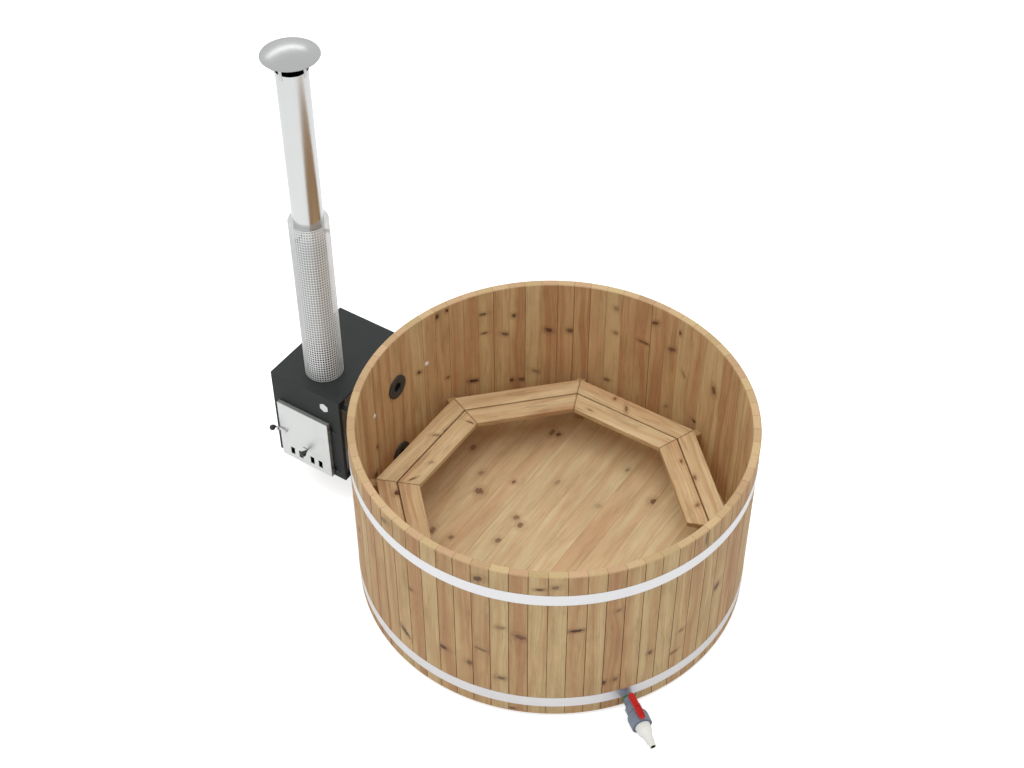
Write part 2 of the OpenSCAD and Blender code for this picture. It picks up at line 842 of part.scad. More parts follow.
module bracket_nuts() {
    seat = bracket_out + fit;
    color("silver") for (side = [-1, 1]) around(180 + side * bolt_az, seat, bolt_z) rotate([0, 90, 0])
        difference() {
            union() {
                cylinder(r = 11, h = washer_t);
                cylinder(r = bolt_r * 1.8, h = washer_t + 8, $fn = 6);
            }
            translate([0, 0, -1]) cylinder(r = bolt_r + slip, h = 20);
        }
}

module badge_plate() {
    color("silver") translate([x_near - 99, y_front, z_top - 79]) rotate([90, 30, 0])
        cylinder(r = badge_r, h = badge_t, $fn = 6);
}

// A hook on the casing that the latch bar drops into
module latch_keeper() {
    low = latch_z - latch_bar_w / 2 - fit;
    front = latch_bar_y - 3;
    x0 = keeper_x - keeper_w / 2;
    x1 = keeper_x + keeper_w / 2;
    color("silver") difference() {
        union() {
            box([x0, y_front - leaf_t, low - 18], [x1, y_front, low + 6]);
            box([x0, front - 4, low - 5], [x1, y_front, low]);
            box([x0, front - 4, low - 5], [x1, front, low + keeper_lip]);
        }
        rod_y(2.5, y_front - leaf_t - 1, y_front + 1, keeper_x, low - 12);
    }
}

// Places its children at each screw on the casing's front, at depth y
module at_casing_screws(y) {
    for (z = hinge_zs) translate([hinge_x + 20, y, z - hinge_half / 2]) children();
    translate([keeper_x, y, latch_z - latch_bar_w / 2 - fit - 12]) children();
}

module casing_screws() {
    color("silver") at_casing_screws(y_front - leaf_t - fit) union() {
        rod_y(2.2, -1, leaf_t + casing_t);
        rotate([90, 0, 0]) cylinder(r1 = 4.5, r2 = 3, h = 2.4);
    }
}

// Fixed half of each hinge: a leaf on the casing and the lower knuckle, which holds the pin
module hinge_leaves() {
    color("dimgray") for (z = hinge_zs) difference() {
        union() {
            box([hinge_x - 2, y_front - leaf_t, z - hinge_half], [hinge_x + 28, y_front, z]);
            box([hinge_x - 2, hinge_y, z - hinge_half], [hinge_x + 3, y_front, z]);
            translate([hinge_x, hinge_y, z - hinge_half]) cylinder(r = hinge_r, h = hinge_half);
        }
        translate([hinge_x, hinge_y, z - hinge_half - 1]) cylinder(r = hinge_pin_r + running, h = hinge_half + 2);
        rod_y(2.5, y_front - leaf_t - 1, y_front + 1, hinge_x + 20, z - hinge_half / 2);
    }
}

module hinge_pins() {
    color("silver") for (z = hinge_zs)
        translate([hinge_x, hinge_y, z - hinge_half]) cylinder(r = hinge_pin_r, h = 2 * hinge_half + 2);
}

// ---- door ----

module air_holes(y0, y1, shift = 0) {
    for (x = air_xs)
        box([x + shift - air_w / 2, y0, air_z - air_h / 2], [x + shift + air_w / 2, y1, air_z + air_h / 2]);
}

module damper_slot(y0, y1) {
    gap = damper_stem_r + slot_gap;
    box([damper_stem_x - damper_travel - gap, y0, damper_stem_z - gap],
        [damper_stem_x + gap, y1, damper_stem_z + gap]);
}

module door_panel() {
    color("dimgray") difference() {
        box([door_x0, panel_y0, door_z0], [door_x1, panel_y1, door_z1]);
        box([door_x0 + rim_w, panel_y0 + sheet_t, door_z0 + rim_w], [door_x1 - rim_w, panel_y1 + 1, door_z1 - rim_w]);
        gasket_ring(0);
        air_holes(panel_y0 - 1, panel_y0 + sheet_t + 1);
        damper_slot(panel_y0 - 1, panel_y0 + sheet_t + 1);
        rod_y(latch_stud_r, panel_y0 - 1, panel_y0 + sheet_t + 1, latch_x, latch_z);
    }
}

// A square ring set into the back of the door's rim
module gasket_ring(inset) {
    near = 2.5 + inset;
    far = rim_w - 2.5 - inset;
    front = panel_y1 - 4 + inset;
    difference() {
        box([door_x0 + near, front, door_z0 + near], [door_x1 - near, panel_y1 + 1.2, door_z1 - near]);
        box([door_x0 + far, front - 1, door_z0 + far], [door_x1 - far, panel_y1 + 2, door_z1 - far]);
    }
}

module door_gasket() {
    color("whitesmoke") gasket_ring(slip);
}

module door_skin() {
    color("gainsboro") difference() {
        box([door_x0, skin_y, door_z0], [door_x1, panel_y0, door_z1]);
        air_holes(skin_y - 1, panel_y0 + 1);
        damper_slot(skin_y - 1, panel_y0 + 1);
        rod_y(latch_stud_r, skin_y - 1, panel_y0 + 1, latch_x, latch_z);
    }
}

// Fireproof board that fills the door above the damper
module door_board() {
    color("tan") difference() {
        box([door_x0 + rim_w + fit, panel_y0 + sheet_t, board_z0],
            [door_x1 - rim_w - fit, panel_y1 - 2, door_z1 - rim_w - fit]);
        rod_y(latch_stud_r + 6, panel_y0 + sheet_t - 1, panel_y0 + sheet_t + 9, latch_x, latch_z);
    }
}

module door_knuckles() {
    color("dimgray") for (z = hinge_zs) difference() {
        union() {
            translate([hinge_x, hinge_y, z + fit]) cylinder(r = hinge_r, h = hinge_half - fit);
            box([door_x1, hinge_y - 4, z + fit], [hinge_x, hinge_y + 4, z + hinge_half]);
        }
        translate([hinge_x, hinge_y, z - 1]) cylinder(r = hinge_pin_r + running, h = hinge_half + 4);
    }
}

// Two rails on the inside of the door that carry the damper
module damper_rails() {
    y = panel_y0 + sheet_t;
    color("dimgray") for (edge = [[slide_z0 - rail_t - fit, slide_z0 - fit, slide_z0 + 3],
                                  [slide_z1 + fit, slide_z1 + rail_t + fit, slide_z1 - 3]]) {
        low = min(edge[0], edge[2]);
        high = max(edge[1], edge[2]);
        box([door_x0 + rim_w + fit, y, edge[0]], [door_x1 - rim_w - fit, y + 4.8, edge[1]]);
        box([door_x0 + rim_w + fit, y + 2.8, low], [door_x1 - rim_w - fit, y + 4.8, high]);
    }
}

// Holds the latch bar between its head and a collar on the skin, and a nut inside the door
module latch_stud() {
    color("silver") union() {
        rod_y(latch_stud_r, latch_bar_y - fit - 1, panel_y0 + sheet_t + 6, latch_x, latch_z);
        rod_y(8, latch_bar_y - fit - 4, latch_bar_y - fit, latch_x, latch_z);
        rod_y(8, latch_bar_y + latch_bar_t + fit, skin_y, latch_x, latch_z);
        translate([latch_x, panel_y0 + sheet_t, latch_z]) rotate([-90, 0, 0]) cylinder(r = 8, h = 5, $fn = 6);
    }
}

// A flat bar from the stud to the knob, with a pin for the knob
module latch_bar() {
    half = latch_bar_w / 2;
    color("silver") difference() {
        union() {
            box([knob_x, latch_bar_y, latch_z - half], [latch_x, latch_bar_y + latch_bar_t, latch_z + half]);
            for (x = [knob_x, latch_x]) rod_y(half, latch_bar_y, latch_bar_y + latch_bar_t, x, latch_z);
            rod_y(knob_pin_r, latch_bar_y - knob_out + 2, latch_bar_y + 1, knob_x, latch_z);
        }
        rod_y(latch_stud_r + running, latch_bar_y - 1, latch_bar_y + latch_bar_t + 1, latch_x, latch_z);
    }
}

// A ball with a neck towards +Y, bored from the neck's end to its middle and flat where it meets a bar
module ball_knob(neck, bore_r) {
    rotate([-90, 0, 0]) rotate_extrude() difference() {
        union() {
            circle(r = knob_r);
            square([knob_r / 2, neck]);
        }
        translate([-knob_r - 1, -knob_r - 1]) square([knob_r + 1, 2 * knob_r + 2]);
        translate([-1, neck]) square([knob_r + 2, knob_r]);
        square([bore_r, neck + 1]);
    }
}

module latch_knob() {
    color("black") translate([knob_x, latch_bar_y - knob_out, latch_z])
        ball_knob(knob_out, knob_pin_r + slip);
}

// A plate with four windows; at rest they stand behind the holes, and it moves towards the latch
module damper_slide() {
    y = panel_y0 + sheet_t + fit;
    color("dimgray") difference() {
        union() {
            box([slide_x0, y, slide_z0], [slide_x1, y + 2, slide_z1]);
            rod_y(damper_stem_r, damper_knob_y + 2, y + 1, damper_stem_x, damper_stem_z);
        }
        air_holes(y - 1, y + 3);
    }
}

module damper_knob() {
    color("black") translate([damper_stem_x, damper_knob_y, damper_stem_z])
        ball_knob(knob_r + 8, damper_stem_r + slip);
}

// ---- chimney ----

module at_chimney(z = 0) {
    translate([smoke_x, smoke_y, z]) children();
}

module lower_smoke_pipe() {
    color("silver") at_chimney() tube(lower_smoke_r, collar_r + slip, smoke_z0, joint_z);
}

module upper_smoke_pipe() {
    color("gainsboro") at_chimney() tube(smoke_r, smoke_r - smoke_t, joint_z - joint_lap, smoke_z1);
}

module heat_guard() {
    color("lightgray") at_chimney() tube(guard_r, guard_r - guard_t, z_top, z_top + guard_h);
}

// Bent strips between the pipe and the guard, three at each level
module guard_spacers() {
    color("silver") at_chimney() for (level = [0, 1], az = [30, 150, 270]) {
        z = spacer_levels[level];
        near = level == 0 ? lower_smoke_r : smoke_r;
        intersection() {
            tube(guard_r - guard_t, near, z, z + spacer_h);
            rotate([0, 0, az]) union() {
                translate([near - 5, -1, z]) cube([60, 2, spacer_h]);
                translate([near - 5, -9, z]) cube([6.6, 18, spacer_h]);
                translate([guard_r - guard_t - 2.2, -9, z]) cube([6, 18, spacer_h]);
            }
        }
    }
}

// A clamp round the top of the pipe with two ears for its bolt
module cap_band() {
    z = smoke_z1 - band_h;
    color("silver") at_chimney() difference() {
        union() {
            tube(smoke_r + slip + band_t, smoke_r + slip, z, smoke_z1);
            for (side = [-1, 1]) rotate([0, 0, cap_bolt_az])
                translate([smoke_r + slip + 0.4, side * 4 - 1, z]) cube([cap_ear, 2, band_h]);
        }
        rotate([0, 0, cap_bolt_az]) translate([smoke_r - 5, -3, z - 1]) cube([40, 6, band_h + 2]);
        rotate([0, 0, cap_bolt_az]) rod_y(cap_bolt_r + slip, -20, 20, smoke_r + 11, z + band_h / 2);
    }
}

// Four straps from the clamp up to the dome, each with a foot bent out under it
module cap_legs() {
    near = smoke_r + band_t + 2 * slip;
    under = dome_r - cap_t - slip;
    z = smoke_z1 - band_h;
    color("gainsboro") at_chimney() intersection() {
        for (az = [0, 90]) rotate([0, 0, az]) translate([-cap_r, -leg_w / 2, z])
            cube([2 * cap_r, leg_w, cap_z + cap_rise - z]);
        rotate_extrude($fn = big_fn) intersection() {
            translate([0, dome_z]) circle(r = under);
            union() {
                translate([near, z]) square([leg_t, cap_z + cap_rise - z]);
                difference() {
                    translate([near, cap_z]) square([26, cap_rise]);
                    translate([0, dome_z]) circle(r = under - leg_t);
                }
            }
        }
    }
}

module cap_bolt() {
    color("silver") at_chimney(smoke_z1 - band_h / 2) rotate([0, 0, cap_bolt_az]) translate([smoke_r + 11, 0, 0]) {
        rod_y(cap_bolt_r, -6, 12);
        translate([0, -5.3, 0]) rotate([90, 0, 0]) cylinder(r = 5.5, h = 4, $fn = 6);
        translate([0, 5.3, 0]) rotate([-90, 0, 0]) cylinder(r = 5.5, h = 5, $fn = 6);
    }
}

// A shallow dome of sheet with a rolled rim
module rain_cap() {
    color("gainsboro") at_chimney() union() {
        intersection() {
            translate([0, 0, dome_z]) difference() {
                sphere(r = dome_r, $fn = big_fn);
                sphere(r = dome_r - cap_t, $fn = big_fn);
            }
            translate([0, 0, cap_z]) cylinder(r = cap_r + 1, h = cap_rise + 1);
        }
        tube(cap_r, cap_r - 4, cap_z - 2, cap_z + 0.6);
    }
}

staves_heater_side();
staves_back();
staves_drain_side();
staves_front();
upper_hoop();
lower_hoop();
hoop_bolts();
hoop_nuts();
floor_boards();
floor_bearers();
bench_inner_planks();
bench_outer_planks();
bench_brackets();
floor_drain();
drain_pipe();
wall_seal();
valve_body();
union_nut();
union_end();
hose_tail();
valve_ball();
valve_stem();
valve_lever();
heater_casing();
water_tank();
front_frame();
firebox();
fire_grate();
baffle_plate();
flue_collar();
guard_seat();
water_pipes();
pipe_flanges();
heater_brackets();
bracket_bolts();
bracket_nuts();
badge_plate();
latch_keeper();
hinge_leaves();
hinge_pins();
casing_screws();
door_panel();
door_skin();
door_board();
door_gasket();
door_knuckles();
damper_rails();
latch_stud();
latch_bar();
latch_knob();
damper_slide();
damper_knob();
lower_smoke_pipe();
upper_smoke_pipe();
heat_guard();
guard_spacers();
cap_band();
cap_legs();
cap_bolt();
rain_cap();
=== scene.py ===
"""Wood-fired hot tub, dressed for the photograph.

Staves, floor, seat, smoke pipes, guard, cap, knobs, rope seal and the valve's nut and seal are surfaces
worked out with numpy. Everything else is an edged copy of one of the frame's own solids.
Lengths are in metres; the origin is on the ground under the centre of the tub.
"""
import json
import math

import bmesh
import bpy
import numpy as np
from mathutils import Matrix, Vector


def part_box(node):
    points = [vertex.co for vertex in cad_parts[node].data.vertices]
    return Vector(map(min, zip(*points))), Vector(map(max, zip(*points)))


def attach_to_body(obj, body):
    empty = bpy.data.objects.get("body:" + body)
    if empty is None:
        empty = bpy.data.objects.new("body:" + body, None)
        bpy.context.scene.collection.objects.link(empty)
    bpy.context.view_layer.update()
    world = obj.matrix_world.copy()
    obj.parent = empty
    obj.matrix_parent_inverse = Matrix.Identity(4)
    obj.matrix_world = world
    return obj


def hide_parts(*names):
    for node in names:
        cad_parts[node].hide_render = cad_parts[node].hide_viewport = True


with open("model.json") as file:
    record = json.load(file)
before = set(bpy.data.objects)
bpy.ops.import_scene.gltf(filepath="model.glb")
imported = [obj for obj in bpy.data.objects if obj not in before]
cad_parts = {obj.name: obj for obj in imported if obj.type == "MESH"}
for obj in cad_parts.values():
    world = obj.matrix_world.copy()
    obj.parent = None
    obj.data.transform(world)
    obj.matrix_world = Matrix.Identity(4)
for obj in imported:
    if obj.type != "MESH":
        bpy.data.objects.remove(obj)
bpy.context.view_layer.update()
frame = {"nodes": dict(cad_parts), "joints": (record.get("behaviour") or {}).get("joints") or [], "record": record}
JOINTS = {joint["name"]: joint for joint in frame["joints"]}
BODY_OF = {n: b for b, nodes in frame["record"]["behaviour"]["bodies"].items() for n in nodes}

# ---- sizes that repeat the part's own values ----
TUB_R, WALL_R = 1.000, 0.960
MID_R = (TUB_R + WALL_R) / 2
STAVE_COUNT = 70
STAVE_STEP = 2 * math.pi / STAVE_COUNT
STAVE_LOW, RIM_Z = 0.020, 1.060
SEAM = 0.0003
FLOOR_UNDER, FLOOR_Z = 0.093, 0.135
FLOOR_R = 0.9715
BOARD_COUNT = 18
BOARD_W = 2 * FLOOR_R / BOARD_COUNT
SEAT_UNDER, SEAT_Z = 0.392, 0.420
SEAT_SIDES = (45, 90, 135, 180, 225)
INNER_RING, OUTER_RING = (0.640, 0.746), (0.754, 0.852)
PIPE_HEIGHTS = (0.241, 0.741)
CHIMNEY = (-1.328, -0.126)
GUARD_R, GUARD_WALL, GUARD_Z0, GUARD_Z1 = 0.1004, 0.001, 0.779, 1.779
PIPE_R, PIPE_WALL, PIPE_Z0, PIPE_Z1 = 0.0765, 0.0015, 1.689, 2.640
CAP_R, CAP_RISE, CAP_Z = 0.1375, 0.045, 2.708
DRAIN_Z = 0.056
TAIL_BORE = 0.010
valve_pos = JOINTS["drain_valve"]["pos_m"]
DRAIN_AZ = math.atan2(valve_pos[1], valve_pos[0])
OUT_WAY = (math.cos(DRAIN_AZ), math.sin(DRAIN_AZ))
DRAIN_HOLE, FLOOR_DRAIN_R = 0.0255, 0.780
WATER_HOLE = 0.0323
BOLT_HOLE, BOLT_Y, BOLT_Z = 0.0055, 0.240, 0.735
BEARER_STEP, TIMBER_HALF = 0.360, 0.030
BRACKET_SIDES = (26, 67.5, 112.5, 157.5, 202.5, 244)
WATER_BORE = 0.0270
INNER_PIPE_R, INNER_PIPE_WALL, INNER_PIPE_Z0, INNER_PIPE_Z1 = 0.0749, 0.0015, 0.782, 1.739
KNOB_R = 0.016
ROPE_R = 0.00335


# ---- meshes from arrays ----

def srgb(red, green, blue):
    """Linear colour of a screen colour given in 0-255: ((c/255 + 0.055) / 1.055) to the power 2.4."""
    parts = [c / 255 for c in (red, green, blue)]
    return tuple(p / 12.92 if p <= 0.04045 else ((p + 0.055) / 1.055) ** 2.4 for p in parts) + (1.0,)


def in_scene(name, data):
    """A new object of this mesh, lamp or camera."""
    obj = bpy.data.objects.new(name, data)
    bpy.context.scene.collection.objects.link(obj)
    return obj


def cleaned(mesh, distance, flat=None):
    """The mesh with doubles merged and, where flat is given, faces joined that bend by less."""
    work = bmesh.new()
    work.from_mesh(mesh)
    bmesh.ops.remove_doubles(work, verts=work.verts, dist=distance)
    if flat is not None:
        bmesh.ops.dissolve_limit(work, angle_limit=flat, verts=work.verts, edges=work.edges)
    work.to_mesh(mesh)
    work.free()
    return mesh


def mesh_of(name, points, faces):
    """A mesh of points (n, 3) and face arrays, turned over if its signed volume
    (the sum over triangles of a . (b x c) / 6) is negative, with doubles merged."""
    volume = 0.0
    for block in faces:
        a = points[block[:, 0]]
        for k in range(1, block.shape[1] - 1):
            b, c = points[block[:, k]], points[block[:, k + 1]]
            volume += np.einsum("ij,ij->", a, np.cross(b, c)) / 6
    if volume < 0:
        faces = [block[:, ::-1] for block in faces]
    mesh = bpy.data.meshes.new(name)
    mesh.from_pydata(points.tolist(), [], [face for block in faces for face in block.tolist()])
    cleaned(mesh, 1e-7).validate()
    return mesh


def corners_of(mesh):
    """The mesh's points as an array."""
    co = np.zeros(len(mesh.vertices) * 3)
    mesh.vertices.foreach_get("co", co)
    return co.reshape(-1, 3)


def placed(mesh):
    """The mesh's points, and the azimuth of each in degrees."""
    co = corners_of(mesh)
    return co, np.degrees(np.arctan2(co[:, 1], co[:, 0])) % 360


def attach(mesh, name, values):
    """An attribute of the mesh: one number or one vector for each point."""
    values = np.asarray(values, np.float32)
    kind, field = ("FLOAT", "value") if values.ndim == 1 else ("FLOAT_VECTOR", "vector")
    mesh.attributes.new(name, kind, "POINT").data.foreach_set(field, values.ravel())


def grid_faces(rows, columns, closed=False):
    """Quads between rings of points, in row order; where closed, the last ring joins the first."""
    last = rows if closed else rows - 1
    r, c = [v.ravel() for v in np.meshgrid(np.arange(last), np.arange(columns), indexing="ij")]
    r2, c2 = (r + 1) % rows, (c + 1) % columns
    return np.stack([r * columns + c, r * columns + c2, r2 * columns + c2, r2 * columns + c], 1)


def polar(radius, t, z):
    """Points (radius cos t, radius sin t, z)."""
    return np.stack([radius * np.cos(t), radius * np.sin(t), z], -1)


def turned(profile, count, shape=None, closed=False):
    """Points and quads of a profile of (height, radius) pairs carried round an axis.
    shape(t, height) multiplies the radius.
    An open profile starts and ends on the axis; a closed one is a ring."""
    profile = np.asarray(profile, float)
    t = np.linspace(0, 2 * np.pi, count, endpoint=False)
    height = np.repeat(profile[:, :1], count, 1)
    radius = np.repeat(profile[:, 1:], count, 1)
    if shape is not None:
        radius = radius * shape(t[None, :], height)
    return polar(radius, t, height).reshape(-1, 3), [grid_faces(len(profile), count, closed)]


def rounded(profile, radius, steps=4):
    """A profile of points with each marked corner replaced by an arc.
    radius holds one value for each point; a corner's arc is a quadratic curve between
    the two points that lie that far along its sides: (1-s)^2 a + 2 s (1-s) corner + s^2 b."""
    out, points = [], np.array(profile, float)
    s = np.linspace(0, 1, steps + 1)[:, None]
    for i, (corner, reach) in enumerate(zip(points, radius)):
        if reach == 0 or i in (0, len(points) - 1):
            out.append(corner[None])
            continue
        sides = [points[i - 1] - corner, points[i + 1] - corner]
        a, b = [corner + side * min(reach / np.linalg.norm(side), 0.49) for side in sides]
        out.append((1 - s) ** 2 * a + 2 * s * (1 - s) * corner + s ** 2 * b)
    return np.concatenate(out)


def along_axis(points, axis, place):
    """Turns points drawn round Z so that their Z lies along axis, and moves them to place."""
    turn = np.array(Vector((0, 0, 1)).rotation_difference(Vector(axis)).to_matrix())
    return points @ turn.T + np.array(place)


def joined(parts):
    """One array of points and one list of faces from several."""
    points, faces, start = [], [], 0
    for these, blocks in parts:
        points.append(these)
        faces += [block + start for block in blocks]
        start += len(these)
    return np.concatenate(points), faces


def slab(x, inset, thick, levels, under=1.0):
    """One board: a closed row of points across it, carried along it.
    x holds places across and inset how far the face lies in from the thickness at each, which
    rounds the long edges; below it is under times as much. Each level is
    (along(x), side, top, bottom): where the row lies and how far its sides and faces are drawn in;
    a negative bottom is a groove that deep across the lower face.
    The upper and lower rows pair up, so quads close the ends."""
    middle, half = (x[0] + x[-1]) / 2, (x[-1] - x[0]) / 2
    rows = []
    for along, side, top, bottom in levels:
        across = middle + (x - middle) * (1 - side / half)
        upper = np.stack([across, along(x), thick - np.maximum(inset, top)], 1)
        deep = np.maximum(inset * under, bottom) if bottom >= 0 else -bottom + 0 * x
        lower = np.stack([across, along(x), deep], 1)
        rows.append(np.concatenate([upper, lower[::-1]]))
    i, ring = np.arange(len(x) - 1), 2 * len(x)
    cap = np.stack([i, i + 1, ring - 2 - i, ring - 1 - i], 1)
    far_cap = (cap + (len(rows) - 1) * ring)[:, ::-1]
    return np.concatenate(rows), [grid_faces(len(rows), ring), cap, far_cap]


def edge_row(x0, x1, edge, inner):
    """Places across a board with its edges rounded: (x, inset) for an arc of three points at each side."""
    a = 1 - math.sqrt(0.5)
    x = np.concatenate([[x0, x0 + a * edge], np.linspace(x0 + edge, x1 - edge, inner), [x1 - a * edge, x1]])
    inset = np.concatenate([[edge, a * edge], np.zeros(inner), [a * edge, edge]])
    return x, inset


def finished_mesh(obj, name):
    """The object's mesh with its modifiers applied; the working object is removed."""
    graph = bpy.context.evaluated_depsgraph_get()
    mesh = bpy.data.meshes.new_from_object(obj.evaluated_get(graph))
    mesh.name = name
    bpy.data.objects.remove(obj)
    return mesh


def pierced(mesh, cutters):
    """The mesh with closed cutter shapes taken out of it."""
    obj, tool = in_scene("work", mesh), in_scene("tool", mesh_of("cutters", *joined(cutters)))
    cut = obj.modifiers.new("cut", "BOOLEAN")
    cut.operation, cut.solver, cut.object = "DIFFERENCE", "EXACT", tool
    done = finished_mesh(obj, mesh.name)
    bpy.data.objects.remove(tool)
    return done


def piece(name, mesh, node, material, smooth=32):
    """A piece of this mesh that rides on its node's body, stands for the node and takes the material.
    It is smooth apart from edges sharper than the angle. A corner's normal follows the larger
    faces, so flat and straight walls shade flat."""
    mesh.materials.clear()
    mesh.materials.append(material)
    mesh.shade_smooth()
    mesh.set_sharp_from_angle(angle=math.radians(smooth))
    work = in_scene("work", mesh)
    weigh = work.modifiers.new("weigh", "WEIGHTED_NORMAL")
    weigh.mode, weigh.weight, weigh.keep_sharp = "FACE_AREA", 50, True
    obj = in_scene(name, finished_mesh(work, name))
    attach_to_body(obj, BODY_OF[node])
    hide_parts(node)
    return obj


def edged(node, material, width, segments=2, angle=35, smooth=32, name=None):
    """A copy of a CAD node with its sharp edges rounded by width, which stands for that node."""
    name = name or node + "_edged"
    source = frame["nodes"][node].data
    mesh = bpy.data.meshes.new(name)
    mesh.from_pydata(corners_of(source).tolist(), [], [face.vertices[:] for face in source.polygons])
    work = in_scene("work", cleaned(mesh, 2e-6, math.radians(0.3)))
    bevel = work.modifiers.new("edges", "BEVEL")
    bevel.width, bevel.segments, bevel.limit_method = width, segments, "ANGLE"
    bevel.angle_limit = math.radians(angle)
    bevel.use_clamp_overlap = True
    return piece(name, finished_mesh(work, name), node, material, smooth)


# ---- shader values ----

def math_node(operation, swapped=False):
    """A method of a value that puts down one Math node, with another value or number where it has one."""
    def method(value, other=0.0):
        first, second = (other, value) if swapped else (value, other)
        return put(value.tree, "Math", {"operation": operation}, n0=first, n1=second)[0]
    return method


class Value:
    """A shader value. Its sums, products and the like are Math nodes of its own tree."""

    def __init__(self, tree, socket):
        self.tree, self.socket = tree, socket

    __add__, __mul__ = math_node("ADD"), math_node("MULTIPLY")
    __sub__, __rsub__ = math_node("SUBTRACT"), math_node("SUBTRACT", swapped=True)
    __truediv__, __pow__ = math_node("DIVIDE"), math_node("POWER")
    above = math_node("MAXIMUM")
    floor, fraction = math_node("FLOOR"), math_node("FRACT")
    sine, absolute = math_node("SINE"), math_node("ABSOLUTE")


class Outputs:
    """A node's outputs as values, by name or number."""

    def __init__(self, tree, node):
        self.tree, self.node = tree, node

    def __getitem__(self, key):
        return Value(self.tree, self.node.outputs[key])


def feed(tree, target, value):
    """Links a value to an input, or sets a constant there."""
    if isinstance(value, Value):
        tree.links.new(value.socket, target)
    else:
        target.default_value = value


def put(tree, kind, settings=None, **inputs):
    """Adds a node: settings are its own properties, inputs its sockets by name or n0, n1, ..."""
    node = tree.nodes.new("ShaderNode" + kind)
    for key, value in (settings or {}).items():
        setattr(node, key, value)
    for key, value in inputs.items():
        index = int(key[1:]) if key[0] == "n" and key[1:].isdigit() else key.replace("_", " ")
        feed(tree, node.inputs[index], value)
    return Outputs(tree, node)


def use(tree, group, **inputs):
    """Places a group in a tree."""
    return put(tree, "Group", {"node_tree": group}, **inputs)


def step(value, low, high):
    """Smooth step of a value, from 0 at low to 1 at high."""
    return put(value.tree, "MapRange", {"interpolation_type": "SMOOTHSTEP"},
               Value=value, From_Min=low, From_Max=high)[0]


def mix(tree, kind, factor, a, b):
    """A colour made from a and b."""
    return put(tree, "Mix", {"data_type": "RGBA", "blend_type": kind}, n0=factor, n6=a, n7=b)[2]


def blend(factor, a, b):
    """Colour a, which turns into b as the factor goes from 0 to 1."""
    return mix(factor.tree, "MIX", factor, a, b)


def shaded(colour, red, green=None, blue=None):
    """The colour times one value, or times one for each channel."""
    tone = put(red.tree, "CombineColor", None, Red=red, Green=green or red, Blue=blue or red)[0]
    return mix(red.tree, "MULTIPLY", 1.0, colour, tone)


def noise(vector, scale, detail=2.0, rough=0.5):
    """Value of a noise texture."""
    return put(vector.tree, "TexNoise", None, Vector=vector, Scale=scale, Detail=detail, Roughness=rough)[0]


def stretched(vector, factors):
    """The vector times three factors."""
    return put(vector.tree, "VectorMath", {"operation": "MULTIPLY"}, n0=vector, n1=factors)[0]


def split(vector):
    """The three parts of a vector."""
    return put(vector.tree, "SeparateXYZ", None, Vector=vector)


def combined(x, y, z=0.0):
    """A vector of three parts."""
    return put(x.tree, "CombineXYZ", None, X=x, Y=y, Z=z)[0]


def length(vector):
    """How long a vector is."""
    return put(vector.tree, "VectorMath", {"operation": "LENGTH"}, n0=vector)["Value"]


SOCKETS = {"F": "NodeSocketFloat", "C": "NodeSocketColor", "V": "NodeSocketVector"}


def new_group(name, **inputs):
    """An empty shader node group and its inputs: V, C and F name its vectors, colours and numbers."""
    group = bpy.data.node_groups.new(name, "ShaderNodeTree")
    for kind, labels in inputs.items():
        for label in labels.split(", "):
            group.interface.new_socket(label, in_out="INPUT", socket_type=SOCKETS[kind])
    return group, Outputs(group, group.nodes.new("NodeGroupInput"))


def give(group, **results):
    """The group, which puts out these values; the one called Color is a colour."""
    for label in results:
        kind = SOCKETS["C" if label == "Color" else "F"]
        group.interface.new_socket(label, in_out="OUTPUT", socket_type=kind)
    end = group.nodes.new("NodeGroupOutput")
    for label, value in results.items():
        feed(group, end.inputs[label], value)
    return group


# ---- shared effects ----

def knot_group():
    """A knot in its own unit circle: how far the grain bends round it, its core and its halo.
    The mark holds (across, along, whole millimetres of half width + darkness)."""
    group, given = new_group("knot_field", V="Mark")
    u, v, packed = split(given["Mark"])
    size, dark = packed.floor() * 0.001, packed.fraction()
    place, r = combined(u, v, size), length(combined(u, v))
    worn = r + (noise(place, 1.7, 4.0, 0.65) - 0.5) * 2.6
    wide = r + (noise(place, 0.8, 3.0, 0.6) - 0.5) * 4.0
    return give(group, Shift=u * size / (r * r).above(1.0) * 0.9, Core=step(worn, 1.30, 0.85) * dark,
                Halo=step(wide, 3.6, 0.8) * dark, Rings=(worn * 14.0).sine())


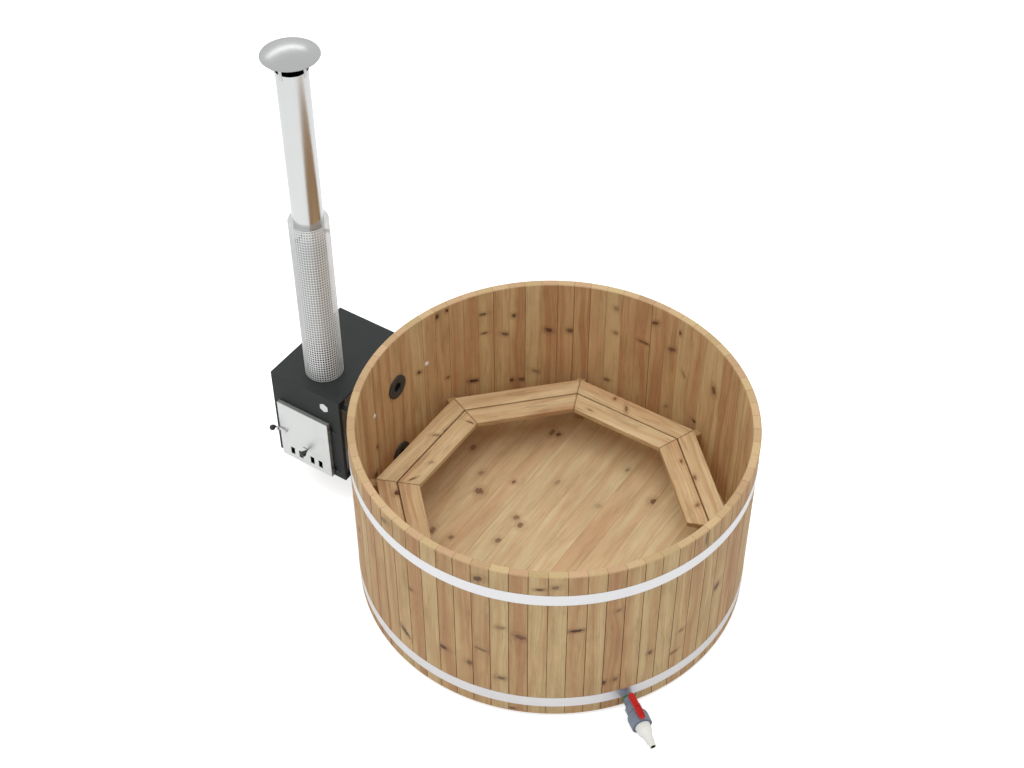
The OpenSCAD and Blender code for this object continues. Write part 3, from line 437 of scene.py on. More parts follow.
def plank_group(knots):
    """Sawn softwood: growth rings about a pith line that wanders, bent round knots, broad bands of
    sapwood and heartwood, fine fibres, and a darker line where a plank meets the next, which paints the shade in
    the gap together with weathering."""
    group, given = new_group("plank_grain", V="Grain, Plank, KnotA, KnotB, KnotC",
                             C="Pale, Middle, Warm, Knot, Halo",
                             F="Joint, Ring gap, Ring depth, Bands, Band run, Stain, Streaks")

    def grainy(across, along, detail, rough=0.5):
        """Noise with this many spots to the metre across the grain and along it."""
        return noise(stretched(given["Grain"], (across, along, across)), 1.0, detail, rough)

    a, b, c = [use(group, knots, Mark=given[mark]) for mark in ("KnotA", "KnotB", "KnotC")]
    core, halo = [a[part].above(b[part]).above(c[part]) for part in ("Core", "Halo")]
    across, along, deep = split(given["Grain"])
    plank, streaks = split(given["Plank"]), given["Streaks"]
    x = across - (a["Shift"] + b["Shift"] + c["Shift"]) + (grainy(2.0, 1.3, 2.0) - 0.5) * 0.09
    x = x + (grainy(14.0, 5.0, 3.0, 0.6) - 0.5) * 0.012
    reach = length(combined(x, 0.0, deep))
    ring = (reach / given["Ring gap"]).fraction()
    late = ring ** 2.4 * step(ring, 1.0, 0.90)
    year = noise(combined(reach, along * 0.03), 90.0, 2.0, 0.6)
    band = noise(combined(x, along * given["Band run"], deep), 22.0, 2.5)
    fibre, streak = grainy(620.0, 14.0, 3.0, 0.65), grainy(150.0, 3.0, 2.0)
    patch = grainy(9.0, 3.4, 3.0, 0.6)
    tone = plank[1] + (band - 0.5) * (given["Bands"] * 4.4) + (year - 0.5) * (streaks * 0.8)
    tone = tone + (streak - 0.5) * streaks
    colour = blend(step(tone, 0.0, 0.5), given["Warm"], given["Middle"])
    colour = blend(step(tone, 0.5, 1.0), colour, given["Pale"])
    stain = step(grainy(34.0, 4.5, 4.0, 0.65), 0.50, 0.72)
    pores = step(grainy(300.0, 7.0, 2.0), 0.56, 0.72)
    # Painted shade of the gap between planks, together with weathering, as a dark line at each side.
    line = step(plank[0].absolute() + grainy(30.0, 9.0, 2.0) * 0.04, 0.955, 1.01)
    shade = (1.0 - late * given["Ring depth"]) * (fibre * 0.16 + 0.92) * (patch * 0.44 + 0.78)
    shade = shade * (1.0 - stain * given["Stain"]) * (1.0 - pores * (streaks * 0.2))
    shade = shade * (1.0 - line * given["Joint"])
    colour = shaded(colour, shade, shade ** 1.14, shade ** 1.3)
    colour = blend(halo * (fibre * 0.5 + 0.35), colour, given["Halo"])
    colour = blend(core, colour, shaded(given["Knot"], (a["Rings"] + b["Rings"]) * 0.16 + 0.9))
    return give(group, Color=colour, Roughness=fibre * 0.16 - core * 0.1 + 0.52,
                Height=fibre * 0.35 + late * 0.5 - core * 0.6)


def sheet_group():
    """Rolled or brushed sheet metal: fine lines along one way, soft smudges and small spots."""
    group, given = new_group("sheet_finish", V="Vector, Lines", C="Color", F="Roughness, Line depth, Smudge")
    place, smudge = given["Vector"], given["Smudge"]
    lines = noise(stretched(place, given["Lines"]), 14.0, 4.0, 0.7)
    cloud, spot = noise(place, 6.0, 3.0, 0.55), noise(place, 55.0)
    shade = ((lines - 0.5) * given["Line depth"] + 1.0) * (1.0 - step(cloud, 0.45, 0.75) * (smudge * 0.6))
    rough = given["Roughness"] + (lines - 0.5) * 0.10 + (cloud - 0.4) * smudge + (spot - 0.5) * 0.04
    return give(group, Color=shaded(given["Color"], shade), Roughness=rough.above(0.03), Height=lines)


def wear_group():
    """Plain finish with soft wear: broad mottling, small specks and dust that settles on upper faces."""
    group, given = new_group("surface_wear", V="Vector", C="Color, Dust",
                             F="Dust amount, Mottle, Roughness, Grain size")
    place, mottle = given["Vector"], given["Mottle"]
    cloud, speck = noise(place, 9.0, 4.0, 0.6), noise(place, 170.0)
    shade = (cloud - 0.5) * mottle + (speck - 0.5) * (mottle * 0.8) + 1.0
    up = split(put(group, "NewGeometry")["Normal"])[2]
    dust = step(up, 0.2, 1.0) * step(cloud, 0.3, 0.75) * given["Dust amount"]
    return give(group, Color=blend(dust, shaded(given["Color"], shade), given["Dust"]),
                Roughness=given["Roughness"] + (cloud - 0.5) * 0.18 + dust * 0.2,
                Height=noise(place, given["Grain size"]))


PLANK = plank_group(knot_group())
SHEET = sheet_group()
WEAR = wear_group()


# ---- materials ----

def blank(name):
    """A new material, which holds a Principled shader, and its tree."""
    material = bpy.data.materials.new(name)
    material.use_nodes = True
    return material, material.node_tree


def dressed(material, **inputs):
    """The material with these values and constants on its shader."""
    shader = material.node_tree.nodes["Principled BSDF"]
    for key, value in inputs.items():
        feed(material.node_tree, shader.inputs[key.replace("_", " ")], value)
    return material


def bump(height, strength, distance):
    """The normal of a surface raised by a height."""
    return put(height.tree, "Bump", None, Height=height, Strength=strength, Distance=distance)[0]


def attribute(tree, name, part="Vector"):
    """An attribute of the piece's own mesh."""
    return put(tree, "Attribute", {"attribute_name": name})[part]


def sawn_ends(colour, grain, plank):
    """Sawn ends: speckled, each with a tone and a hue of its own, and darker at their sides, where the darkening
    paints the shade of the seams together with weathering.
    """
    cut = noise(stretched(grain, (260.0, 1.0, 260.0)), 1.0, 2.0, 0.6)
    rings = noise(stretched(grain, (90.0, 1.0, 160.0)), 1.0, 3.0, 0.6)
    edge = step(plank[0].absolute(), 0.955, 1.0)
    tone = plank[2] * 0.22 + cut * 0.22 + rings * 0.30 + 0.60 - edge * 0.12
    hue = (plank[1] - 0.5) * 0.18 + 1.0
    return shaded(colour, tone, hue * tone ** 1.15, tone ** 1.35)


def wood(name, pale, middle, warm, knot, halo, gap, depth, bands, run=0.1, stain=0.2, streaks=0.5, end=None):
    """Planks: the grain, knots and seams come from the piece's own attributes.
    Where end is given, faces that point up show sawn ends in that colour."""
    material, tree = blank(name)
    grain, plank = attribute(tree, "grain"), attribute(tree, "plank")
    knots = {"Knot" + letter.upper(): attribute(tree, "knot_" + letter) for letter in "abc"}
    out = use(tree, PLANK, Grain=grain, Plank=plank, Joint=attribute(tree, "joint", "Fac"), **knots,
              Pale=srgb(*pale), Middle=srgb(*middle), Warm=srgb(*warm), Knot=srgb(*knot), Halo=srgb(*halo),
              Ring_gap=gap, Ring_depth=depth, Bands=bands, Band_run=run, Stain=stain, Streaks=streaks)
    colour = out["Color"]
    if end is not None:
        up = split(put(tree, "NewGeometry")["True Normal"])[2]
        colour = blend(step(up, 0.5, 0.8), colour, sawn_ends(srgb(*end), grain, split(plank)))
    return dressed(material, Base_Color=colour, Roughness=out["Roughness"], Specular_IOR_Level=0.2,
                   Normal=bump(out["Height"], 0.35, 0.0006))


def finished(material, out, metallic, soot_and_shade, height, distance, **more):
    """The material with a group's colour, roughness and height; where the piece's darkening mark is 1, it goes
    dark and dull.
    The mark is soot inside the flues, and painted shade in pipe bores, under the cap and in the guard's foot."""
    tone, gloss = out["Color"], out["Roughness"]
    if soot_and_shade:
        # Marked parts take a dark, dull colour: soot in the flues, painted shade in bores and under covers.
        mask = step(attribute(material.node_tree, "soot_and_shade", "Fac"), 0.3, 0.75)
        tone, gloss = blend(mask, tone, srgb(24, 22, 21)), gloss + mask * 0.6
        metallic = (1.0 - mask) * metallic
    return dressed(material, Base_Color=tone, Roughness=gloss, Metallic=metallic,
                   Normal=bump(out["Height"], height, distance), **more)


def metal(name, colour, rough, lines, depth=0.05, smudge=0.1, height=0.05, metallic=1.0, soot_and_shade=False):
    """Bare sheet metal, brushed along one way."""
    material, tree = blank(name)
    out = use(tree, SHEET, Vector=put(tree, "TexCoord")["Object"], Color=srgb(*colour), Roughness=rough,
              Lines=lines, Line_depth=depth, Smudge=smudge)
    return finished(material, out, metallic, soot_and_shade, height, 0.0003)


def coated(name, colour, rough, dust=0.1, mottle=0.1, grain=600.0, height=0.15, metallic=0.0,
           dust_colour=(150, 146, 138), specular=0.5, coat=0.0, soot_and_shade=False):
    """Paint, plastic, rubber or cast iron: mottled colour, dust and a fine skin."""
    material, tree = blank(name)
    out = use(tree, WEAR, Vector=put(tree, "TexCoord")["Object"], Color=srgb(*colour), Roughness=rough,
              Dust=srgb(*dust_colour), Dust_amount=dust, Mottle=mottle, Grain_size=grain)
    return finished(material, out, metallic, soot_and_shade, height, 0.0004, Specular_IOR_Level=specular,
                    Coat_Weight=coat, Coat_Roughness=0.15)


def flame_marked(name, colour, rough):
    """Steel inside the heater, with patches of brown scale and of soot."""
    material, tree = blank(name)
    place = put(tree, "TexCoord")["Object"]
    out = use(tree, SHEET, Vector=place, Color=srgb(*colour), Roughness=rough, Lines=(1.0, 30.0, 30.0),
              Line_depth=0.1, Smudge=0.3)
    cloud = noise(place, 11.0, 4.0, 0.6)
    tone = blend(step(cloud, 0.35, 0.6), srgb(86, 66, 52), out["Color"])
    tone = blend(step(cloud, 0.40, 0.62), tone, srgb(22, 21, 20))
    return dressed(material, Base_Color=tone, Roughness=out["Roughness"] + 0.2, Metallic=0.5,
                   Normal=bump(cloud, 0.3, 0.002))


def braided(name, colour):
    """Heat-proof rope: a braid that follows the piece's rope attribute (turns along, turns round)."""
    material, tree = blank(name)
    rope = split(attribute(tree, "rope"))
    one = ((rope[0] + rope[1]) * (2 * math.pi)).sine()
    two = ((rope[0] - rope[1]) * (2 * math.pi)).sine()
    strand = one.above(two)
    dirt = noise(put(tree, "TexCoord")["Object"], 40.0, 3.0, 0.6)
    tone = blend(step(strand, -0.3, 0.9), srgb(92, 86, 78), srgb(*colour))
    tone = blend(step(dirt, 0.5, 0.8), tone, srgb(70, 64, 58))
    return dressed(material, Base_Color=tone, Roughness=0.9, Normal=bump(strand, 0.8, 0.0006))


stave_wood = wood("stave_wood", (211, 184, 138), (201, 166, 122), (189, 146, 106),
                  (64, 41, 30), (128, 90, 64), gap=0.0065, depth=0.17, bands=0.52, run=0.045,
                  stain=0.16, streaks=0.45, end=(199, 169, 128))
floor_wood = wood("floor_wood", (227, 206, 162), (220, 191, 149), (212, 176, 135),
                  (110, 75, 52), (166, 129, 98), gap=0.007, depth=0.10, bands=0.54, run=0.08,
                  stain=0.10, streaks=0.26)
bench_wood = wood("bench_wood", (228, 203, 160), (217, 186, 143), (202, 161, 121),
                  (78, 44, 28), (150, 100, 68), gap=0.009, depth=0.18, bands=0.60, run=0.08,
                  stain=0.24, streaks=0.42)
bearer_wood = wood("bearer_wood", (202, 172, 126), (190, 157, 112), (172, 136, 95),
                   (84, 60, 44), (140, 108, 82), gap=0.008, depth=0.2, bands=0.4)
hoop_steel = metal("hoop_steel", (232, 233, 236), 0.30, (60.0, 60.0, 1.0), 0.03, 0.06, 0.03)
fastener_steel = metal("fastener_steel", (214, 214, 216), 0.28, (40.0, 40.0, 40.0), 0.06, 0.1, 0.05)
casing_paint = coated("casing_paint", (47, 51, 50), 0.50, 0.02, 0.10, 420.0, 0.22, specular=0.16)
tank_steel = metal("tank_steel", (178, 180, 182), 0.38, (1.0, 40.0, 40.0), 0.10, 0.2, 0.08)
# Darker than the tank's steel: painted shade for the pipes inside the heater and their bores.
pipe_steel = metal("pipe_steel", (128, 132, 136), 0.40, (1.0, 40.0, 40.0), 0.10, 0.2, 0.08, soot_and_shade=True)
heater_black = coated("heater_black", (36, 38, 38), 0.5, 0.04, 0.15, 300.0, 0.25, specular=0.3)
firebox_steel = flame_marked("firebox_steel", (110, 106, 102), 0.45)
grate_iron = coated("grate_iron", (46, 44, 43), 0.75, 0.35, 0.3, 260.0, 0.6, dust_colour=(150, 144, 136))
black_rubber = coated("black_rubber", (46, 48, 49), 0.55, 0.15, 0.15, 500.0, 0.3)
green_seal = coated("green_seal", (46, 128, 84), 0.45, 0.05, 0.1, 400.0, 0.1)
blue_grey_plastic = coated("blue_grey_plastic", (132, 144, 161), 0.34, 0.05, 0.06, 500.0, 0.08)
red_plastic = coated("red_plastic", (206, 36, 40), 0.32, 0.03, 0.06, 500.0, 0.06)
white_plastic = coated("white_plastic", (246, 247, 243), 0.35, 0.05, 0.05, 500.0, 0.06, soot_and_shade=True)
black_knob = coated("black_knob", (26, 26, 27), 0.35, 0.06, 0.05, 500.0, 0.05, coat=0.15)
door_grey = metal("door_grey", (176, 177, 174), 0.38, (60.0, 60.0, 1.0), 0.10, 0.2, 0.05, metallic=0.5)
door_steel = metal("door_steel", (229, 232, 231), 0.42, (60.0, 60.0, 1.0), 0.05, 0.1, 0.04, metallic=0.6)
mineral_board = coated("mineral_board", (186, 172, 146), 0.9, 0.1, 0.35, 160.0, 0.6)
gasket_cord = braided("gasket_cord", (196, 190, 178))
hinge_steel = coated("hinge_steel", (62, 64, 65), 0.45, 0.05, 0.15, 380.0, 0.2, metallic=0.3)
chimney_steel = metal("chimney_steel", (223, 225, 225), 0.23, (30.0, 30.0, 1.0), 0.03, 0.05, 0.02, soot_and_shade=True)
# Darker than the upper pipe's steel: painted shade for the pipe inside the guard, together with heat dulling.
inner_pipe_steel = metal("inner_pipe_steel", (160, 163, 164), 0.28, (30.0, 30.0, 1.0), 0.05, 0.2, 0.02,
                         soot_and_shade=True)
cap_steel = metal("cap_steel", (180, 181, 181), 0.30, (60.0, 60.0, 60.0), 0.06, 0.05, 0.03, soot_and_shade=True)
guard_steel = metal("guard_steel", (236, 238, 238), 0.40, (40.0, 40.0, 1.0), 0.04, 0.08, 0.03, metallic=0.25)
# The pale pinkish tone of the bolt heads paints their highlight and the reflection of the wood.
bolt_steel = metal("bolt_steel", (236, 228, 228), 0.40, (40.0, 40.0, 40.0), 0.05, 0.1, 0.05, metallic=0.3)
badge_steel = metal("badge_steel", (218, 220, 221), 0.32, (1.0, 1.0, 60.0), 0.05, 0.08, 0.04)


# ---- wood: marks that the grain follows ----

FAR_KNOT = np.array([9.0, 9.0, 0.01, 0.01, 0.0, 0.1])      # stands for no knot


def wood_marks(mesh, across, along, depth, unit, plank, seed, tone, knots=None, count=None, joint=0.2):
    """Attributes for the plank grain. grain is the place in the log: (across + the pith's offset,
    along + a start of its own, depth + the pith's distance). plank is (place across from -1 to 1,
    tone, a number of its own). knot_a to knot_c hold the place in each knot's own unit circle and
    the knot's size and darkness, and joint is how dark the line to the next plank is. That line is painted shade
    of the gap between planks, together with weathering."""
    count = count or int(plank.max()) + 1
    draw = np.random.default_rng(seed)
    pith_x = draw.uniform(-0.05, 0.05, count)
    pith_z = draw.uniform(0.03, 0.11, count) * draw.choice([-1, 1], count)
    start = draw.uniform(0, 40, count)
    own = draw.uniform(0, 1, count)
    grain = [across + pith_x[plank], along + start[plank], depth + pith_z[plank]]
    attach(mesh, "grain", np.stack(grain, 1))
    attach(mesh, "plank", np.stack([unit, tone[plank], own[plank]], 1))
    table = np.tile(FAR_KNOT, (count, 3, 1)) if knots is None else knots
    rows = table[plank] if len(table) == count else table
    for k, name in enumerate(("knot_a", "knot_b", "knot_c")):
        row = rows[:, k]
        turn = np.radians(row[:, 4])
        dx, dy = across - row[:, 0], along - row[:, 1]
        u = (dx * np.cos(turn) + dy * np.sin(turn)) / row[:, 2]
        v = (dy * np.cos(turn) - dx * np.sin(turn)) / row[:, 3]
        packed = np.round(row[:, 2] * 1000) + np.clip(row[:, 5], 0.08, 0.9)
        attach(mesh, name, np.stack([u, v, packed], 1))
    attach(mesh, "joint", joint + np.zeros(len(across)))


def knot_table(count, listed, seed, span, half, chance=0.5, keep=()):
    """Knots for each plank: those listed as (plank, across, along, half across, half along, tilt,
    darkness), then small ones drawn at random on planks outside keep."""
    table = np.tile(FAR_KNOT, (count, 3, 1))
    used = np.zeros(count, int)
    for plank, *row in listed:
        if used[plank] < 3:
            table[plank, used[plank]] = row
            used[plank] += 1
    draw = np.random.default_rng(seed)
    for k in range(3):
        pick = draw.uniform(0, 1, count) < chance
        row = np.stack([draw.uniform(-half, half, count), draw.uniform(span[0], span[1], count),
                        draw.uniform(0.006, 0.016, count), draw.uniform(0.004, 0.008, count),
                        draw.uniform(-35, 35, count), draw.uniform(0.35, 0.85, count)], 1)
        free = (used <= k) & pick & ~np.isin(np.arange(count), keep)
        table[free, k] = row[free]
    return table


# ---- tub ----

# Knots on the outside of the staves: stave, across, height, half width, half height, tilt, darkness
OUTER_KNOTS = [
    (60, 0.000, 0.673, 0.026, 0.0065, 3, 0.85), (56, 0.008, 0.659, 0.020, 0.008, 8, 0.35),
    (57, 0.010, 0.613, 0.022, 0.010, -28, 0.55), (50, -0.003, 0.270, 0.030, 0.008, -42, 0.75),
    (55, 0.001, 0.455, 0.030, 0.005, -14, 0.45), (53, -0.024, 0.353, 0.016, 0.008, -12, 0.8),
    (54, 0.028, 0.320, 0.012, 0.010, 0, 0.55), (56, 0.008, 0.269, 0.018, 0.008, 0, 0.6),
    (62, 0.014, 0.778, 0.012, 0.007, 20, 0.4), (66, 0.015, 0.419, 0.012, 0.007, 10, 0.45),
    (66, -0.022, 0.273, 0.018, 0.006, 5, 0.5), (64, 0.016, 0.369, 0.009, 0.008, 0, 0.65),
    (69, -0.016, 0.545, 0.018, 0.012, 30, 0.7), (62, -0.036, 0.237, 0.008, 0.010, 0, 0.8),
    (62, 0.019, 0.245, 0.010, 0.010, 0, 0.5), (58, 0.008, 0.975, 0.016, 0.005, 2, 0.7),
    (59, -0.012, 0.992, 0.014, 0.008, 10, 0.5), (55, -0.009, 0.976, 0.018, 0.010, 25, 0.7),
    (49, -0.021, 1.000, 0.022, 0.010, 10, 0.45), (51, -0.030, 0.650, 0.012, 0.008, 0, 0.45),
    (67, 0.031, 1.010, 0.006, 0.030, 0, 0.6), (57, -0.026, 0.040, 0.014, 0.005, 0, 0.6),
]
# Knots on the inside of the staves, in the same order of numbers
INNER_KNOTS = [
    (31, -0.034, 1.030, 0.008, 0.007, 0, 0.85), (31, 0.030, 1.020, 0.009, 0.010, 20, 0.85),
    (28, 0.017, 0.914, 0.017, 0.006, 2, 0.65), (26, 0.018, 0.861, 0.010, 0.009, 0, 0.7),
    (28, 0.012, 0.777, 0.016, 0.005, 0, 0.6), (27, -0.019, 0.738, 0.020, 0.007, 22, 0.6),
    (24, 0.002, 0.738, 0.016, 0.009, 20, 0.75), (23, -0.026, 0.739, 0.016, 0.010, 0, 0.6),
    (20, -0.014, 0.950, 0.012, 0.010, 0, 0.4), (17, 0.023, 0.943, 0.018, 0.007, -30, 0.65),
    (15, 0.038, 0.964, 0.007, 0.009, 0, 0.75), (18, -0.006, 0.775, 0.030, 0.006, 2, 0.5),
    (16, -0.007, 0.820, 0.020, 0.008, -32, 0.6), (20, -0.016, 0.777, 0.012, 0.008, 0, 0.4),
    (33, -0.007, 0.707, 0.012, 0.006, 30, 0.8), (31, -0.024, 0.550, 0.010, 0.006, 0, 0.55),
    (29, -0.008, 0.448, 0.026, 0.007, 14, 0.85), (26, 0.033, 0.385, 0.010, 0.008, 0, 0.75),
    (26, -0.025, 0.380, 0.016, 0.009, 0, 0.6), (25, -0.019, 0.432, 0.022, 0.008, 25, 0.4),
    (20, 0.023, 0.417, 0.016, 0.007, 0, 0.5), (12, 0.015, 0.765, 0.014, 0.016, 0, 0.7),
    (14, -0.033, 0.430, 0.012, 0.006, 0, 0.8), (16, 0.000, 0.392, 0.016, 0.006, -50, 0.35),
    (15, -0.013, 0.696, 0.020, 0.006, 50, 0.35), (38, -0.032, 0.503, 0.008, 0.008, 0, 0.75),
    (38, 0.011, 0.328, 0.016, 0.010, 30, 0.85),
]
# Knots on the floor: board, x, y, half across, half along, tilt, darkness
FLOOR_KNOTS = [
    (2, -0.712, 0.325, 0.014, 0.018, 20, 0.55), (3, -0.569, 0.192, 0.012, 0.014, 0, 0.45),
    (4, -0.505, 0.078, 0.022, 0.018, -30, 0.70), (5, -0.386, 0.234, 0.009, 0.011, 0, 0.75),
    (5, -0.410, 0.659, 0.011, 0.020, 10, 0.65), (5, -0.372, 0.665, 0.012, 0.012, 0, 0.80),
    (7, -0.187, 0.360, 0.012, 0.018, 0, 0.35), (6, -0.237, 0.030, 0.015, 0.014, 0, 0.60),
    (7, -0.190, -0.003, 0.014, 0.016, 20, 0.70), (6, -0.229, -0.154, 0.014, 0.015, -10, 0.65),
    (4, -0.447, -0.271, 0.012, 0.012, 0, 0.60), (5, -0.372, -0.275, 0.010, 0.010, 0, 0.85),
    (3, -0.557, -0.283, 0.014, 0.020, 20, 0.65), (11, 0.318, 0.524, 0.018, 0.017, -20, 0.80),
    (9, 0.083, 0.645, 0.009, 0.012, 0, 0.50), (9, 0.087, 0.336, 0.018, 0.014, 0, 0.25),
    (4, -0.505, 0.800, 0.012, 0.014, 0, 0.70),
]
FRONT_SIDE = tuple(range(46, 70)) + (0, 1, 2)      # staves whose outside the photograph shows
BACK_SIDE = tuple(range(8, 40))                    # staves whose inside it shows


def stave_tones():
    """Tone of each stave from 0 (warm brown) to 1 (pale), with the pale and dark ones set one by one."""
    tone = np.random.default_rng(5).normal(0.5, 0.16, STAVE_COUNT)
    for stave in (59, 52, 65, 56, 28, 25, 20, 15, 12, 33):
        tone[stave] = 0.82
    for stave in (53, 60, 57, 62, 29, 22, 18, 24, 10):
        tone[stave] = 0.2
    return np.clip(tone, 0.05, 0.95)


def stave_levels():
    """Rows up a stave: lower end, the groove that holds the floor, and the chamfer at the rim."""
    groove = 0.012
    def at(z, side=0.0, top=0.0, bottom=0.0):
        return (lambda x, z=z: np.full(len(x), z), side, top, bottom)
    return [
        at(STAVE_LOW, 0.0012, 0.0015, 0.0015), at(STAVE_LOW + 0.0015),
        at(FLOOR_UNDER - 0.0006), at(FLOOR_UNDER - 0.0004, bottom=-groove),
        at(FLOOR_Z + 0.0004, bottom=-groove), at(FLOOR_Z + 0.0006),
        at(RIM_Z - 0.0042), at(RIM_Z - 0.0036, 0.0, 0.0004, 0.0004),
        at(RIM_Z - 0.0005, 0.0001, 0.0035, 0.0035), at(RIM_Z, 0.0005, 0.0042, 0.0042),
    ]


def make_staves(name, node, members, cutters):
    """A quarter of the tub: each stave is a slab bent to the tub's radius,
    (r cos t, r sin t) with r = wall + thickness and t = across / outer radius."""
    half = STAVE_STEP * TUB_R / 2 - SEAM / 2
    x, inset = edge_row(-half, half, 0.0016, 6)
    parts = []
    for i in members:
        points, faces = slab(x, inset, TUB_R - WALL_R, stave_levels(), 0.35)
        t = points[:, 0] / TUB_R + i * STAVE_STEP
        parts.append((polar(WALL_R + points[:, 2], t, points[:, 1]), faces))
    mesh = mesh_of(name, *joined(parts))
    if cutters:
        mesh = pierced(mesh, cutters)
    co = corners_of(mesh)
    t, r = np.arctan2(co[:, 1], co[:, 0]), np.hypot(co[:, 0], co[:, 1])
    stave = np.round(t / STAVE_STEP).astype(int) % STAVE_COUNT
    offset = (t - stave * STAVE_STEP + np.pi) % (2 * np.pi) - np.pi
    outside = r > MID_R
    knots = np.where(outside[:, None, None], OUTER_TABLE[stave], INNER_TABLE[stave])
    seam = np.where(offset > 0, stave, (stave - 1) % STAVE_COUNT)
    # Dark seam lines, strong outside: painted shade of the gaps between staves, together with weathering.
    joint = np.where(outside, 0.74, INNER_JOINT[seam])
    wood_marks(mesh, offset * MID_R, co[:, 2], r - WALL_R, offset / (STAVE_STEP / 2), stave,
               11, STAVE_TONE, knots, STAVE_COUNT, joint)
    return piece(name, mesh, node, stave_wood, 25)


def rod_between(radius, a, b, count):
    """A closed cylinder from point a to point b."""
    a, b = np.array(a, float), np.array(b, float)
    far = np.linalg.norm(b - a)
    points, faces = turned([(0, 0), (0, radius), (far, radius), (far, 0)], count)
    return along_axis(points, b - a, a), faces


def wall_hole(radius, azimuth, z, count):
    """A cutter through the wall at an azimuth and height."""
    x, y = math.cos(azimuth), math.sin(azimuth)
    inside, outside = WALL_R - 0.03, TUB_R + 0.03
    return rod_between(radius, (inside * x, inside * y, z), (outside * x, outside * y, z), count)


def quarter(side):
    """The staves of the quarter turn centred on side * 90 degrees, as the frame divides them."""
    turn = 360 / STAVE_COUNT
    return [i for i in range(-9, 70) if math.floor(((i * turn + 405) % 360) / 90) == side % 4
            and abs(i * turn - side * 90) < 46]


STAVE_TONE = stave_tones()
INNER_JOINT = np.random.default_rng(12).choice([0.08, 0.15, 0.3, 0.6], STAVE_COUNT, p=[0.35, 0.3, 0.2, 0.15])
OUTER_TABLE = knot_table(STAVE_COUNT, OUTER_KNOTS, 21, (0.1, 1.0), 0.03, 0.45, FRONT_SIDE)
INNER_TABLE = knot_table(STAVE_COUNT, INNER_KNOTS, 22, (0.2, 1.0), 0.03, 0.45, BACK_SIDE)
OUTER_TABLE[:, :, 2:4] *= (1.15, 1.3)
INNER_TABLE[:, :, 2:4] *= (1.15, 1.3)

pipe_cuts = [rod_between(WATER_HOLE, (-TUB_R - 0.03, 0, z), (-WALL_R + 0.04, 0, z), 64) for z in PIPE_HEIGHTS]
bolt_cuts = [wall_hole(BOLT_HOLE, math.pi + side * math.asin(BOLT_Y), BOLT_Z, 24) for side in (-1, 1)]
drain_cut = wall_hole(DRAIN_HOLE, DRAIN_AZ, DRAIN_Z, 48)

for title, node, side, cuts in (
        ("heater_side_staves", "staves_heater_side", 2, pipe_cuts + bolt_cuts),
        ("back_staves", "staves_back", 1, ()),
        ("drain_side_staves", "staves_drain_side", 0, [drain_cut]),
        ("front_staves", "staves_front", 3, ())):
    make_staves(title, node, quarter(side), cuts)

edged("upper_hoop", hoop_steel, 0.0005, smooth=30)
edged("lower_hoop", hoop_steel, 0.0005, smooth=30)
edged("hoop_bolts", fastener_steel, 0.0006)
edged("hoop_nuts", fastener_steel, 0.0006)


def board_middle(board):
    """Where the middle of a floor board lies along X."""
    return -FLOOR_R + (board + 0.5) * BOARD_W


def make_floor():
    """Boards along Y whose ends follow the groove: y = +-sqrt(R^2 - x^2)."""
    parts = []
    reach = FLOOR_R - 0.0004
    for i in range(BOARD_COUNT):
        x0 = max(-FLOOR_R + i * BOARD_W + SEAM / 2, -reach)
        x1 = min(-FLOOR_R + (i + 1) * BOARD_W - SEAM / 2, reach)
        x, inset = edge_row(x0, x1, 0.0005, 9)
        levels = [(lambda x, end=end: end * np.sqrt(FLOOR_R ** 2 - x ** 2), 0, 0, 0) for end in (-1, 1)]
        points, faces = slab(x, inset, FLOOR_Z - FLOOR_UNDER, levels)
        parts.append((points + [0, 0, FLOOR_UNDER], faces))
    mesh = mesh_of("floor_planks", *joined(parts))
    drain = (FLOOR_DRAIN_R * OUT_WAY[0], FLOOR_DRAIN_R * OUT_WAY[1])
    mesh = pierced(mesh, [rod_between(DRAIN_HOLE, (*drain, 0.08), (*drain, 0.15), 48)])
    co = corners_of(mesh)
    board = np.clip(np.floor((co[:, 0] + FLOOR_R) / BOARD_W).astype(int), 0, BOARD_COUNT - 1)
    off = co[:, 0] - board_middle(board)
    tone = np.clip(np.random.default_rng(8).normal(0.5, 0.13, BOARD_COUNT), 0.1, 0.9)
    tone[[6, 9, 12]] = (0.85, 0.72, 0.7)
    tone[[4, 10]] = 0.28
    listed = [(board, x - board_middle(board), *others) for board, x, *others in FLOOR_KNOTS]
    table = knot_table(BOARD_COUNT, listed, 31, (-0.85, -0.45), 0.035, 0.8)
    wood_marks(mesh, off, co[:, 1], co[:, 2] - FLOOR_UNDER, off / (BOARD_W / 2), board, 14, tone, table,
               BOARD_COUNT, 0.10)
    return piece("floor_planks", mesh, "floor_boards", floor_wood, 25)


make_floor()

# Knots on the seat: plank, place out from its middle, place along it, half out, half along, tilt, darkness
INNER_SEAT_KNOTS = [(3, -0.019, -0.251, 0.020, 0.004, 5, 0.7), (3, 0.002, 0.249, 0.020, 0.004, 60, 0.7),
                    (1, -0.014, 0.187, 0.005, 0.014, 0, 0.5), (0, 0.033, 0.149, 0.006, 0.010, 0, 0.7),
                    (0, 0.031, -0.160, 0.014, 0.008, 30, 0.5), (3, -0.013, 0.102, 0.014, 0.006, 45, 0.35)]
OUTER_SEAT_KNOTS = [(4, -0.040, -0.236, 0.012, 0.012, 0, 0.85), (1, -0.009, 0.028, 0.022, 0.007, 30, 0.6),
                    (1, 0.023, 0.118, 0.010, 0.007, 0, 0.6), (0, -0.039, 0.024, 0.008, 0.014, 0, 0.6),
                    (3, -0.031, -0.074, 0.024, 0.007, 30, 0.45), (3, -0.054, -0.134, 0.012, 0.010, 0, 0.3)]


